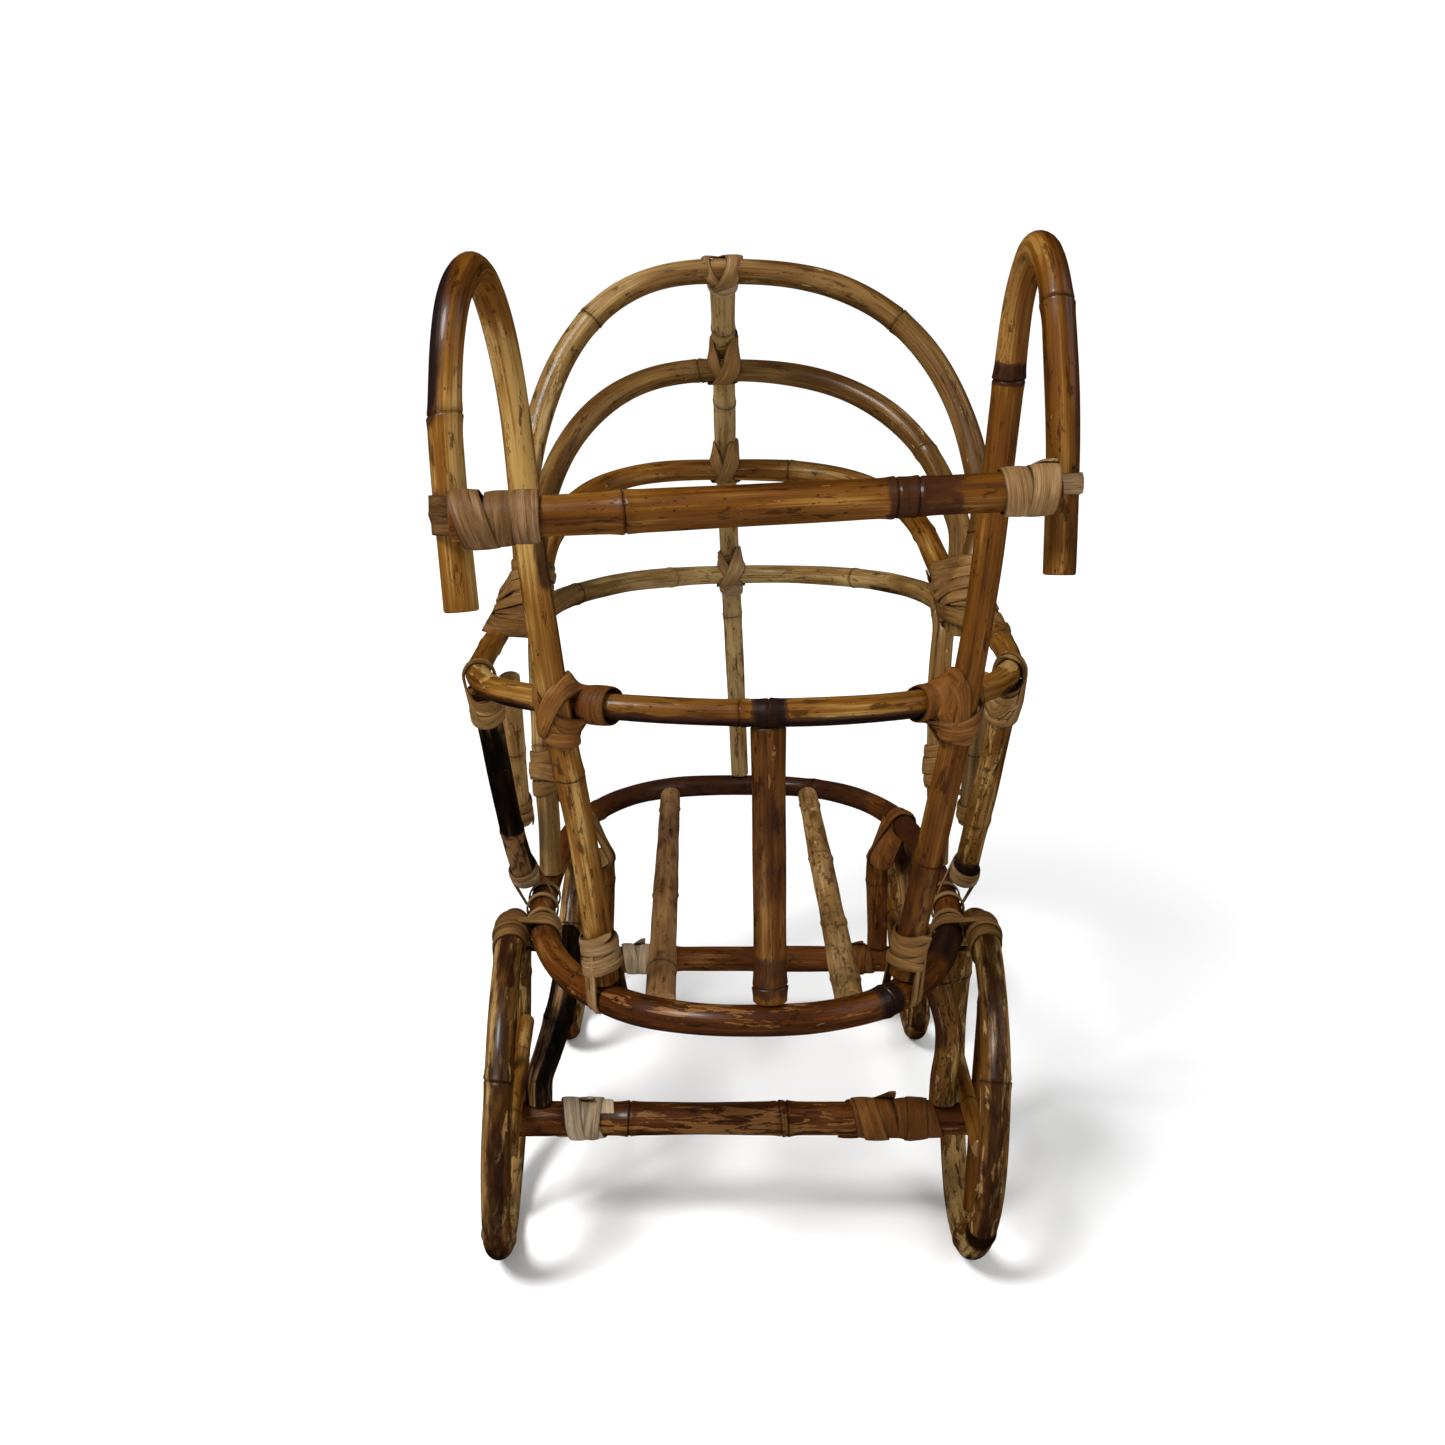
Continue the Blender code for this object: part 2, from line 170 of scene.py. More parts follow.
def split_line(node):
    """A split cane's ends at its flat face's middle, its half width and the way its round side faces."""
    bm = welded(node)
    ends = sorted(cut_ends(bm), key=lambda corners: (round(middle(corners).z, 3), middle(corners).x))
    bm.free()
    line = []
    for corners in ends:
        points = [Vector(c) / MM for c in corners]
        pairs = [(p, q) for p in points for q in points]
        p, q = max(pairs, key=lambda pair: (pair[0] - pair[1]).length)
        line.append((p + q) / 2)
        half_width = (p - q).length / 2
        bulge = middle(points) - line[-1]
    return line, half_width, bulge.normalized()


def wheel_of(name):
    """A wheel's hub, its up, ahead and outward directions, and the radii of its rim's line and cane."""
    upright, _ = centre_line(f"wheel_spoke_upright_{name}")
    level, _ = centre_line(f"wheel_spoke_level_{name}")
    hub = (upright[0] + upright[-1] + level[0] + level[-1]) / 4
    up = (upright[-1] - upright[0]).normalized()
    ahead = (level[-1] - level[0]).normalized()
    ahead = ahead if ahead.y > 0 else -ahead
    outward = up.cross(ahead) * math.copysign(1, up.cross(ahead).x * hub.x)
    bm = welded(f"wheel_rim_{name}")
    reach = [(v.co / MM - hub - outward * (v.co / MM - hub).dot(outward)).length for v in bm.verts]
    bm.free()
    return hub, up, ahead, outward, (max(reach) + min(reach)) / 2, (max(reach) - min(reach)) / 2


# ---- curves


def smooth(points, closed=False, step=1.0):
    """A Catmull-Rom curve through the points as an array, with a point about every step."""
    pts = np.array([tuple(p) for p in points], float)
    if closed:
        pts = np.vstack([pts[-1:], pts, pts[:2]])
    else:
        pts = np.vstack([2 * pts[:1] - pts[1:2], pts, 2 * pts[-1:] - pts[-2:-1]])
    out = []
    for a, b, c, d in zip(pts, pts[1:], pts[2:], pts[3:]):
        count = max(2, round(np.linalg.norm(c - b) / step))
        t = (np.arange(count) / count)[:, None]
        out.append(0.5 * (2 * b + (c - a) * t + (2 * a - 5 * b + 4 * c - d) * t**2
                          + (3 * b - a - 3 * c + d) * t**3))
    if not closed:
        out.append(pts[-2:-1])
    return np.vstack(out)


class Line:
    """A curve that can be read at any distance along it."""

    def __init__(self, points, closed=False):
        self.closed = closed
        pts = np.vstack([points, points[:1]]) if closed else points
        self.points = pts
        self.at = np.concatenate([[0.0], np.cumsum(np.linalg.norm(np.diff(pts, axis=0), axis=1))])
        self.length = self.at[-1]

    def __call__(self, s):
        s = np.mod(s, self.length) if self.closed else s
        return np.stack([np.interp(s, self.at, self.points[:, k]) for k in range(3)], axis=-1)

    def tangents(self, s):
        low, high = s - 1.5, s + 1.5
        if not self.closed:
            low, high = np.maximum(low, 0), np.minimum(high, self.length)
        t = self(high) - self(low)
        return t / np.linalg.norm(t, axis=1, keepdims=True)


def carried(tangents, start):
    """Side vectors carried along the tangents without twist."""
    sides = []
    side = np.array(start, float)
    for t in tangents:
        side = side - t * side.dot(t)
        side = side / np.linalg.norm(side)
        sides.append(side)
    return np.array(sides)


def unit(v):
    v = np.array(tuple(v), float)
    return v / np.linalg.norm(v)


def ease(x, low, high):
    t = np.clip((x - low) / (high - low), 0, 1)
    return t * t * (3 - 2 * t)


# ---- objects


def linked(name, data):
    obj = bpy.data.objects.new(name, data)
    bpy.context.scene.collection.objects.link(obj)
    return obj


def tube_faces(rows, around, closed=False, base=0):
    """The faces of a tube of rows with this many points around, capped at its ends unless it is closed."""
    faces = []
    for i in range(rows if closed else rows - 1):
        a, b = base + i * around, base + (i + 1) % rows * around
        for k in range(around):
            m = (k + 1) % around
            faces.append((a + k, a + m, b + m, b + k))
    if not closed:
        faces.append(tuple(base + k for k in reversed(range(around))))
        faces.append(tuple(base + (rows - 1) * around + k for k in range(around)))
    return faces


def new_object(name, vertices, faces, layers, materials, face_slots=None, sharp=40):
    """An object on the one body, from vertices in mm and values for each vertex under the layers' names."""
    mesh = bpy.data.meshes.new(name)
    mesh.from_pydata((np.asarray(vertices) * MM).tolist(), [], [tuple(map(int, f)) for f in faces])
    for layer, values in layers.items():
        values = np.asarray(values, np.float32)
        if values.ndim == 2:
            mesh.attributes.new(layer, "FLOAT_VECTOR", "POINT").data.foreach_set("vector", values.ravel())
        else:
            mesh.attributes.new(layer, "FLOAT", "POINT").data.foreach_set("value", values)
    for material in materials:
        mesh.materials.append(material)
    if face_slots is not None:
        mesh.polygons.foreach_set("material_index", face_slots)
    mesh.shade_smooth()
    mesh.set_sharp_from_angle(angle=math.radians(sharp))
    obj = linked(name, mesh)
    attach(obj, "root")
    return obj


def marked(marks, kind, s, length, radial, closed, outward):
    """How strongly the marks of one kind cover each point of a cane.

    A mark is (kind, share of the length, half length, strength) with the way that it faces after them if it
    faces one. The facing TREAD is away from the middle of a hoop.
    """
    value = np.zeros(radial.shape[:2])
    for mark_kind, share, half, strength, *facing in marks:
        if mark_kind != kind:
            continue
        away = np.abs(s - share * length)
        if closed:
            away = np.minimum(away, length - away)
        along = 1 - ease(away, 0.55 * half, half)
        around = np.ones(radial.shape[:2])
        if TREAD in facing:
            around = ease(np.einsum("ijk,ik->ij", radial, outward), 0.55, 0.95)
        elif facing:
            around = ease(radial @ unit(facing[0]), -0.1, 0.75)
        value = np.maximum(value, strength * along[:, None] * around)
    return value


def add_cane(name, route, radius, looks, slot, seed, joints=(), marks=(), closed=False, reference=UP,
             taper=(1.0, 1.0), section=None, floor=False):
    """A cane: uneven round sections, raised growth rings at the joints, rounded cut ends with end grain.

    joints are shares of the length. looks are the materials of its skin and its cut ends. taper is its
    thickness at its start and end. section gives another section than a round one: it takes the angles and
    returns offsets along the side and other vectors. floor keeps it above the ground.
    """
    rng = random.Random(seed * 7919 + 13)
    line = Line(np.asarray(route), closed)
    length = line.length
    stops = {round(k * length / max(2, round(length / RING_STEP)), 4)
             for k in range(max(2, round(length / RING_STEP)) + (0 if closed else 1))}
    places = []
    for share in joints:
        tilt, toward = rng.uniform(-0.18, 0.18), rng.uniform(0, math.tau)
        places.append((share * length, tilt, toward, rng.choice((-1, 1))))
        stops |= {round(share * length + sign * d, 4) for d in NEAR_JOINT for sign in (-1, 1)}
    stops = np.array(sorted(x for x in stops if 0 <= x <= length))
    keep = np.concatenate([[True], np.diff(stops) > CLOSEST_RINGS])
    stops = stops[keep]
    if not closed:
        stops = np.concatenate([[0.0, END_ROUND], stops[(stops > END_GAP) & (stops < length - END_GAP)],
                                [length - END_ROUND, length]])
    tangents = line.tangents(stops)
    start = np.array(reference, float)
    if abs(tangents[0] @ unit(start)) > 0.9:
        start = np.array((0.0, 1.0, 0.0))
    if closed:
        sides = np.array([unit(start - t * (start @ t)) for t in tangents])
    else:
        sides = carried(tangents, start)
    others = np.cross(tangents, sides)
    angles = np.arange(CANE_SIDES) * math.tau / CANE_SIDES
    if section:
        along_side, along_other = section(angles)
    else:
        along_side, along_other = np.cos(angles), np.sin(angles)
    radial = along_side[None, :, None] * sides[:, None] + along_other[None, :, None] * others[:, None]

    phase = [rng.uniform(0, math.tau) for _ in range(6)]
    turns = math.tau / length if closed else 1.0

    def wave(mm, which):
        rate = max(1, round(length / mm / math.tau)) * turns if closed else 1.0 / mm
        return np.sin(stops * rate + phase[which])

    # uneven along the cane, then oval and faintly lobed in section
    swell = 1 + (0.022 * wave(24, 0) + 0.014 * wave(9, 1))[:, None] * np.ones(CANE_SIDES)
    swell += 0.02 * np.sin(2 * angles[None] + phase[2] + 2 * wave(60, 3)[:, None])
    swell += 0.006 * np.sin(5 * angles[None] + phase[4] + wave(30, 5)[:, None])
    swell *= (taper[0] + (taper[1] - taper[0]) * stops / length)[:, None]
    joint = np.full(swell.shape, NO_JOINT)
    for at, tilt, toward, way in places:
        d = stops[:, None] - at - tilt * radius * np.cos(angles - toward)
        if closed:
            d = (d + length / 2) % length - length / 2
        d = d * way
        swell += RING_SWELL * np.exp(-(d / 3.4) ** 2) + RING_LIP * (d > 0) * np.exp(-np.abs(d) / 1.3)
        swell -= RING_GROOVE * np.exp(-((d + 0.25) / 0.42) ** 2)
        joint = np.where(np.abs(d) < np.abs(joint), d, joint)
    if not closed:
        swell[0] *= 1 - END_ROUND / radius
        swell[-1] *= 1 - END_ROUND / radius
    centres = line(stops)
    points = centres[:, None] + radial * (radius * swell)[..., None]
    if floor:
        points[..., 2] = np.maximum(points[..., 2], 0.0)
    unbent = np.stack([
        np.broadcast_to(along_side * radius, swell.shape),
        np.broadcast_to(along_other * radius, swell.shape),
        np.broadcast_to(stops[:, None], swell.shape) + 1000.0 * (seed + 1),
    ], axis=-1)
    outward = centres - centres.mean(axis=0)
    outward /= np.linalg.norm(outward, axis=1, keepdims=True)
    # how scorched, flaked, paler and darker each point is; scorch marks facing down also paint shade under
    # the cane
    burn, bare, pale, deep = (marked(marks, kind, stops, length, radial, closed, outward)
                              for kind in ("burn", "bare", "pale", "deep"))

    vertices = points.reshape(-1, 3)
    layers = {"cane": unbent.reshape(-1, 3), "joint": joint.ravel(), "burn": burn.ravel(),
              "bare": bare.ravel(), "tone": (pale - deep).ravel()}
    faces = tube_faces(*swell.shape, closed)
    slots = [0] * len(faces) if closed else [0] * (len(faces) - 2) + [1, 1]
    piece = new_object(name, vertices, faces, layers, looks, slots)
    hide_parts(name)
    CANES[name] = vertices


# ---- materials


class Nodes:
    """The nodes of a new material or world. A value may be a number, a colour or another node's output."""

    def __init__(self, owner, shader="Principled BSDF"):
        owner.use_nodes = True
        self.owner = owner
        self.tree = owner.node_tree
        self.shader = self.tree.nodes[shader]

    def put(self, socket, value):
        if isinstance(value, bpy.types.NodeSocket):
            self.tree.links.new(value, socket)
        else:
            socket.default_value = value

    def set(self, socket, value):
        self.put(self.shader.inputs[socket], value)

    def new(self, kind, inputs=None, **settings):
        node = self.tree.nodes.new("ShaderNode" + kind)
        for setting, value in settings.items():
            setattr(node, setting, value)
        for socket, value in (inputs or {}).items():
            self.put(node.inputs[socket], value)
        return node

    def attribute(self, name, output="Fac"):
        return self.new("Attribute", attribute_name=name).outputs[output]

    def place(self):
        """A point's own place in the object, in metres."""
        return self.new("TexCoord").outputs["Object"]

    def math(self, operation, a, b=0.0):
        return self.new("Math", {0: a, 1: b}, operation=operation).outputs[0]

    def plus(self, a, b):
        return self.math("ADD", a, b)

    def minus(self, a, b):
        return self.math("SUBTRACT", a, b)

    def times(self, a, b):
        return self.math("MULTIPLY", a, b)

    def scaled(self, vector, factors):
        return self.new("VectorMath", {0: vector, 1: factors}, operation="MULTIPLY").outputs[0]

    def noise(self, vector, detail=3.0, roughness=0.55, distortion=0.0):
        inputs = {"Vector": vector, "Scale": 1.0, "Detail": detail, "Roughness": roughness,
                  "Distortion": distortion}
        return self.new("TexNoise", inputs).outputs["Fac"]

    def cells(self, vector):
        return self.new("TexVoronoi", {"Vector": vector, "Scale": 1.0}).outputs["Distance"]

    def step(self, value, low, high, to=(0.0, 1.0)):
        inputs = {"Value": value, "From Min": low, "From Max": high, "To Min": to[0], "To Max": to[1]}
        return self.new("MapRange", inputs, interpolation_type="SMOOTHSTEP").outputs["Result"]

    def mix(self, factor, a, b):
        a, b = (c if isinstance(c, bpy.types.NodeSocket) else (*c, 1.0) for c in (a, b))
        return self.new("Mix", {"Factor": factor, "A": a, "B": b}, data_type="RGBA").outputs["Result"]

    def bump(self, height, strength, distance):
        inputs = {"Strength": strength, "Distance": distance, "Height": height}
        return self.new("Bump", inputs).outputs["Normal"]


def dim(colour, share):
    return tuple(c * share for c in colour)


def cane_look(name, dark, tone, light, char=(0.009, 0.004, 0.003), mottle=0.58, flake=0.67, dots=0.54,
              rough=(0.34, 0.55), coat=0.15, rings=0.55, plum=(0.026, 0.008, 0.003), spot=0.24):
    """Varnished cane, with dark, middling and light skin, and char with a plum fringe at scorch marks; marks
    facing down also paint shade under a cane this way.

    mottle, flake and dots are the noise levels above which it is scorched, its rind has flaked and it has
    pin marks of the size spot. rings is how dark its growth rings are.
    """
    n = Nodes(bpy.data.materials.new(name))
    place = n.attribute("cane", "Vector")
    fibre = n.noise(n.scaled(place, (1.7, 1.7, 0.03)), detail=5, roughness=0.6)
    band = n.noise(n.scaled(place, (0.42, 0.42, 0.012)), detail=3)
    broad = n.noise(n.scaled(place, (0.13, 0.13, 0.022)), detail=2)
    wander = n.noise(n.scaled(place, (0.3, 0.3, 0.085)), detail=6, roughness=0.66, distortion=0.4)
    patch = n.noise(n.scaled(place, (0.26, 0.26, 0.05)), detail=5, roughness=0.62, distortion=0.8)
    joint = n.math("ABSOLUTE", n.attribute("joint"))
    burn = n.attribute("burn")
    bare = n.attribute("bare")
    shift = n.times(n.attribute("tone"), 0.14)

    level = n.plus(n.times(fibre, 0.34), n.times(broad, 0.52))
    level = n.plus(n.plus(level, shift), n.times(band, 0.38))
    colour = n.mix(n.step(level, 0.46, 0.66), dark, tone)
    colour = n.mix(n.step(level, 0.64, 0.8), colour, light)
    # flaked rind shows paler wood inside a thin dark outline
    lifted = n.plus(patch, n.times(bare, 0.3))
    colour = n.mix(n.times(n.step(lifted, flake - 0.03, flake - 0.004), 0.7), colour, dim(tone, 0.4))
    flaked = n.step(lifted, flake, flake + 0.012)
    pale = n.mix(n.step(fibre, 0.35, 0.65), tuple(0.5 * (a + b) for a, b in zip(tone, light)), light)
    colour = n.mix(flaked, colour, pale)
    # short dark dashes along the fibres, then the strong scorch marks with a plum fringe; where the marks
    # face down they are painted shade under the cane as well as scorch
    dash = n.noise(n.scaled(place, (0.95, 0.95, 0.16)), detail=4, roughness=0.7)
    dash = n.times(n.step(dash, 0.6, 0.66), n.step(wander, mottle - 0.14, mottle - 0.02))
    colour = n.mix(n.times(dash, 0.85), colour, dim(dark, 0.25))
    scorch = n.step(wander, mottle, mottle + 0.05)
    colour = n.mix(n.times(scorch, 0.7), colour, dim(dark, 0.35))
    # char and plum from the marked scorch; marks that face down paint shade under the cane with them
    scorch_and_shade_level = n.plus(burn, n.times(n.minus(wander, 0.5), 0.8))
    scorch_and_shade_level = n.plus(scorch_and_shade_level, n.times(n.minus(fibre, 0.5), 0.35))
    colour = n.mix(n.times(n.step(scorch_and_shade_level, 0.16, 0.44), 0.88), colour, plum)
    colour = n.mix(n.step(scorch_and_shade_level, 0.52, 0.86), colour, char)
    # pin marks, and the dark line and stained skin at each growth ring
    pits = n.cells(n.scaled(place, (0.62, 0.62, 0.3)))
    some = n.step(n.noise(n.scaled(place, (0.2, 0.2, 0.05))), dots, dots + 0.08)
    pit = n.times(n.step(pits, spot, spot - 0.12), some)
    colour = n.mix(n.times(pit, 0.75), colour, dim(dark, 0.2))
    stain = n.times(n.step(joint, 4.0, 0.6), 0.45 * rings)
    colour = n.mix(stain, colour, dim(dark, 0.6))
    ring = n.step(joint, 0.75, 0.2)
    colour = n.mix(n.times(ring, rings), colour, dim(dark, 0.3))
    n.set("Base Color", colour)

    rough_level = n.plus(n.times(fibre, 0.6), n.times(flaked, 0.35))
    n.set("Roughness", n.step(rough_level, 0.15, 0.75, to=rough))
    height = n.plus(n.times(fibre, 0.6), n.times(flaked, -0.4))
    height = n.plus(height, n.times(pit, -0.6))
    n.set("Normal", n.bump(height, 0.6, 0.0004))
    n.set("IOR", 1.2)
    n.set("Coat Weight", coat)
    n.set("Coat IOR", 1.4)
    n.set("Coat Roughness", 0.16)
    return n.owner


def end_grain(name, tone, pore):
    """The cut end of a cane: pores in pale wood, darker in cloudy patches."""
    n = Nodes(bpy.data.materials.new(name))
    place = n.attribute("cane", "Vector")
    here = n.scaled(place, (1.3, 1.3, 1.3))
    pores = n.step(n.cells(here), 0.36, 0.2)
    cloud = n.noise(n.scaled(place, (0.5, 0.5, 0.5)), detail=4)
    colour = n.mix(n.step(cloud, 0.35, 0.7), tone, dim(tone, 0.62))
    colour = n.mix(n.times(pores, 0.7), colour, pore)
    n.set("Base Color", colour)
    n.set("Normal", n.bump(pores, 0.4, 0.0003))
    n.set("Roughness", 0.75)
    n.set("IOR", 1.2)
    return n.owner


def peel_look(name, dark, tone, light, rough=(0.42, 0.62)):
    """Flat rattan peel: long fibres, splits, worn pale faces, patches of dirt, and darker along the edges."""
    n = Nodes(bpy.data.materials.new(name))
    place = n.attribute("strip", "Vector")
    edge = n.attribute("edge")
    shade = n.attribute("shade")
    fibre = n.noise(n.scaled(place, (2.6, 0.05, 1.0)), detail=5, roughness=0.62)
    broad = n.noise(n.scaled(place, (0.35, 0.07, 1.0)), detail=3)
    level = n.plus(n.times(fibre, 0.6), n.times(broad, 0.5))
    level = n.plus(level, shade)
    colour = n.mix(n.step(level, 0.34, 0.6), dark, tone)
    colour = n.mix(n.step(level, 0.58, 0.84), colour, light)
    split = n.noise(n.scaled(place, (1.15, 0.022, 1.0)), detail=2, roughness=0.5)
    crack = n.step(n.math("ABSOLUTE", n.minus(split, 0.5)), 0.018, 0.006)
    colour = n.mix(n.times(crack, 0.42), colour, dim(dark, 0.3))
    dirt = n.step(n.noise(n.scaled(place, (0.5, 0.12, 1.0)), detail=5, roughness=0.7), 0.58, 0.7)
    colour = n.mix(n.times(dirt, 0.35), colour, dim(dark, 0.5))
    # darker along each strip's edges
    colour = n.mix(n.times(n.step(edge, 0.84, 1.0), 0.7), colour, dim(dark, 0.3))
    n.set("Base Color", colour)
    n.set("Roughness", n.step(fibre, 0.3, 0.7, to=rough))
    height = n.minus(n.times(fibre, 0.8), n.times(crack, 0.7))
    n.set("Normal", n.bump(height, 0.55, 0.0004))
    n.set("IOR", 1.2)
    return n.owner


GOLDEN = cane_look("golden cane", (0.048, 0.015, 0.001), (0.12, 0.047, 0.005), (0.255, 0.15, 0.042))
STRAW = cane_look("straw cane", (0.055, 0.023, 0.004), (0.13, 0.068, 0.018), (0.255, 0.165, 0.062))
AMBER = cane_look("amber cane", (0.038, 0.011, 0.001), (0.088, 0.03, 0.002), (0.19, 0.09, 0.018))
MOTTLED = cane_look("mottled cane", (0.042, 0.014, 0.001), (0.108, 0.045, 0.006), (0.26, 0.155, 0.048),
                    mottle=0.545, flake=0.6, dots=0.42, spot=0.33)
RIM = cane_look("wheel rim cane", (0.036, 0.012, 0.001), (0.085, 0.034, 0.005), (0.26, 0.155, 0.052),
                mottle=0.55, flake=0.59, dots=0.5, plum=(0.014, 0.004, 0.001), char=(0.006, 0.003, 0.001))
BROWN = cane_look("brown cane", (0.03, 0.008, 0.001), (0.076, 0.022, 0.002), (0.15, 0.064, 0.014),
                  mottle=0.56, flake=0.64)
REDDISH = cane_look("reddish split cane", (0.07, 0.028, 0.008), (0.175, 0.087, 0.029), (0.26, 0.15, 0.058),
                    mottle=0.575, flake=0.66, coat=0.02, rough=(0.45, 0.6))
PALE_SPLIT = cane_look("pale split cane", (0.09, 0.036, 0.008), (0.21, 0.114, 0.033), (0.34, 0.215, 0.085),
                       mottle=0.545, flake=0.64, dots=0.48, coat=0.02, rough=(0.45, 0.6))
DARK_SPLIT = cane_look("dark split cane", (0.034, 0.01, 0.001), (0.082, 0.029, 0.003),
                       (0.175, 0.088, 0.022), mottle=0.575, flake=0.65)
GREY = cane_look("weathered cane", (0.045, 0.022, 0.007), (0.105, 0.058, 0.021), (0.19, 0.12, 0.052),
                 mottle=0.6, flake=0.69, coat=0.02, rough=(0.5, 0.65))
BLACK = cane_look("charred cane", (0.003, 0.0018, 0.001), (0.006, 0.003, 0.0015), (0.15, 0.072, 0.025),
                  mottle=0.5, flake=0.72, coat=0.05, char=(0.002, 0.0012, 0.0008),
                  plum=(0.006, 0.002, 0.001))
CUT = end_grain("cut end", (0.2, 0.11, 0.038), (0.04, 0.016, 0.005))
PEEL = peel_look("peel", (0.064, 0.027, 0.005), (0.135, 0.066, 0.017), (0.255, 0.15, 0.056))
PALE_PEEL = peel_look("pale peel", (0.078, 0.036, 0.011), (0.155, 0.084, 0.03), (0.29, 0.195, 0.105))
SMOKED_PEEL = peel_look("smoked peel", (0.042, 0.017, 0.004), (0.088, 0.041, 0.012), (0.185, 0.108, 0.05))
WHITE_PEEL = peel_look("weathered peel", (0.12, 0.078, 0.04), (0.26, 0.185, 0.11), (0.43, 0.345, 0.24))
AMBER_PEEL = peel_look("amber peel", (0.05, 0.016, 0.002), (0.112, 0.04, 0.005), (0.225, 0.115, 0.03))
DARK_PEEL = peel_look("brown peel", (0.04, 0.013, 0.001), (0.088, 0.029, 0.003), (0.165, 0.07, 0.014))


# ---- canes


def cane_from(node, look, slot="golden_cane", **more):
    """A cane along its CAD solid's centre line."""
    line, radius = centre_line(node)
    add_cane(node, smooth(line), radius, (look, CUT), slot, **more)


# Scorch marks that face DOWN are partly scorch and partly painted shade on the canes' undersides.
line, radius = hoop_line("base_ring")
add_cane("base_ring", smooth(line, closed=True), radius, (BROWN, CUT), "scorched_cane", closed=True, seed=1,
         joints=(0.04, 0.155, 0.30, 0.43, 0.545, 0.69, 0.86),
         marks=(("burn", 0.75, 150, 0.62), ("burn", 0.37, 30, 0.8), ("burn", 0.155, 24, 0.8, DOWN),
                ("burn", 0.30, 8, 0.9), ("burn", 0.48, 60, 0.45), ("burn", 0.55, 80, 0.5),
                ("burn", 0.08, 40, 0.3), ("deep", 0.25, 140, 0.7), ("pale", 0.14, 40, 0.7, UP),
                ("burn", 0.22, 60, 0.5, DOWN), ("bare", 0.22, 60, 0.4, UP)))

# The rail's scorch marks facing DOWN are partly painted shade under the rail.
cane_from("arm_rail", GOLDEN, seed=2, joints=(0.13, 0.495, 0.515, 0.87),
          marks=(("burn", 0.56, 75, 1.0, DOWN), ("burn", 0.44, 45, 0.85, DOWN), ("burn", 0.515, 8, 0.9),
                 ("burn", 0.30, 30, 0.9, DOWN), ("burn", 0.74, 22, 0.7, DOWN), ("bare", 0.25, 34, 0.6, UP),
                 ("bare", 0.77, 34, 0.6, UP)))
cane_from("hood_arch_1", STRAW, seed=3, joints=(0.10, 0.33, 0.66, 0.90),
          marks=(("burn", 0.12, 26, 0.5, DOWN), ("bare", 0.22, 50, 0.35), ("pale", 0.3, 80, 0.5, UP),
                 ("deep", 0.74, 150, 0.8)))
cane_from("hood_arch_2", STRAW, seed=4, joints=(0.15, 0.45, 0.76),
          marks=(("burn", 0.12, 22, 0.45, DOWN), ("deep", 0.5, 400, 0.7)))
cane_from("hood_arch_3", GOLDEN, seed=5, joints=(0.24, 0.57, 0.83), marks=())
cane_from("back_arch", STRAW, seed=6, joints=(0.10, 0.27, 0.43, 0.62, 0.80, 0.93),
          marks=(("burn", 0.68, 30, 0.45, DOWN), ("pale", 0.5, 160, 0.9)))
cane_from("hood_spine", STRAW, seed=7, joints=(0.12, 0.30, 0.52, 0.72, 0.88),
          marks=(("burn", 0.18, 30, 0.25), ("pale", 0.5, 400, 1.1)), taper=(0.92, 1.06))
cane_from("handle_crook_left", GOLDEN, seed=8, joints=(0.22, 0.47, 0.86),
          marks=(("burn", 0.80, 34, 1.25, LEFT), ("burn", 0.42, 14, 0.5, RIGHT),
                 ("bare", 0.55, 40, 0.4, LEFT), ("pale", 0.52, 60, 0.8, NEAR),
                 ("deep", 0.72, 40, 0.6, NEAR), ("pale", 0.93, 60, 0.8, RIGHT),
                 ("pale", 0.14, 50, 0.45, NEAR)),
          taper=(1.12, 1.0))
cane_from("handle_crook_right", AMBER, "scorched_cane", seed=9, joints=(0.13, 0.58, 0.80),
          marks=(("burn", 0.05, 50, 0.28), ("deep", 0.78, 70, 1.2, (0.8, 0, 0.6)),
                 ("burn", 0.585, 5, 0.7), ("bare", 0.66, 40, 0.5, LEFT), ("pale", 0.68, 50, 1.2, LEFT),
                 ("deep", 0.94, 60, 0.6, RIGHT), ("deep", 0.42, 60, 0.5, LEFT)), taper=(1.12, 1.0))
cane_from("grip_bar", AMBER, seed=10, joints=(0.28, 0.725, 0.765),
          marks=(("burn", 0.745, 8, 0.55), ("burn", 0.8, 9, 0.4)))
cane_from("side_brace_left", BLACK, "scorched_cane", seed=11, joints=(0.29,),
          marks=(("pale", 0.275, 4, 3.2), ("pale", 0.10, 26, 1.15, NEAR)))
cane_from("side_brace_right", MOTTLED, seed=12, joints=(0.35,),
          marks=(("burn", 0.03, 16, 1.0),))
cane_from("arm_stay_left", PALE_SPLIT, seed=13, joints=(0.5,))
cane_from("arm_stay_right", GREY, seed=14, joints=(0.5,))
cane_from("axle_rear", BROWN, "split_cane", seed=15, joints=(0.26, 0.585, 0.60, 0.86),
          marks=(("bare", 0.4, 70, 0.55, NEAR), ("bare", 0.64, 50, 0.45, NEAR), ("deep", 0.5, 400, 0.5)))
cane_from("axle_front", BROWN, "split_cane", seed=16, joints=(0.3, 0.62))
cane_from("strut_rear_left", BLACK, "scorched_cane", seed=17, joints=(0.42,),
          marks=(("bare", 0.05, 12, 0.5),))
cane_from("strut_rear_right", MOTTLED, seed=18, joints=(0.55,),
          marks=(("burn", 0.4, 18, 0.5, LEFT),))
cane_from("strut_front_left", AMBER, "scorched_cane", seed=19, joints=(0.5,))
cane_from("strut_front_right", BROWN, "scorched_cane", seed=20, joints=(0.5,))


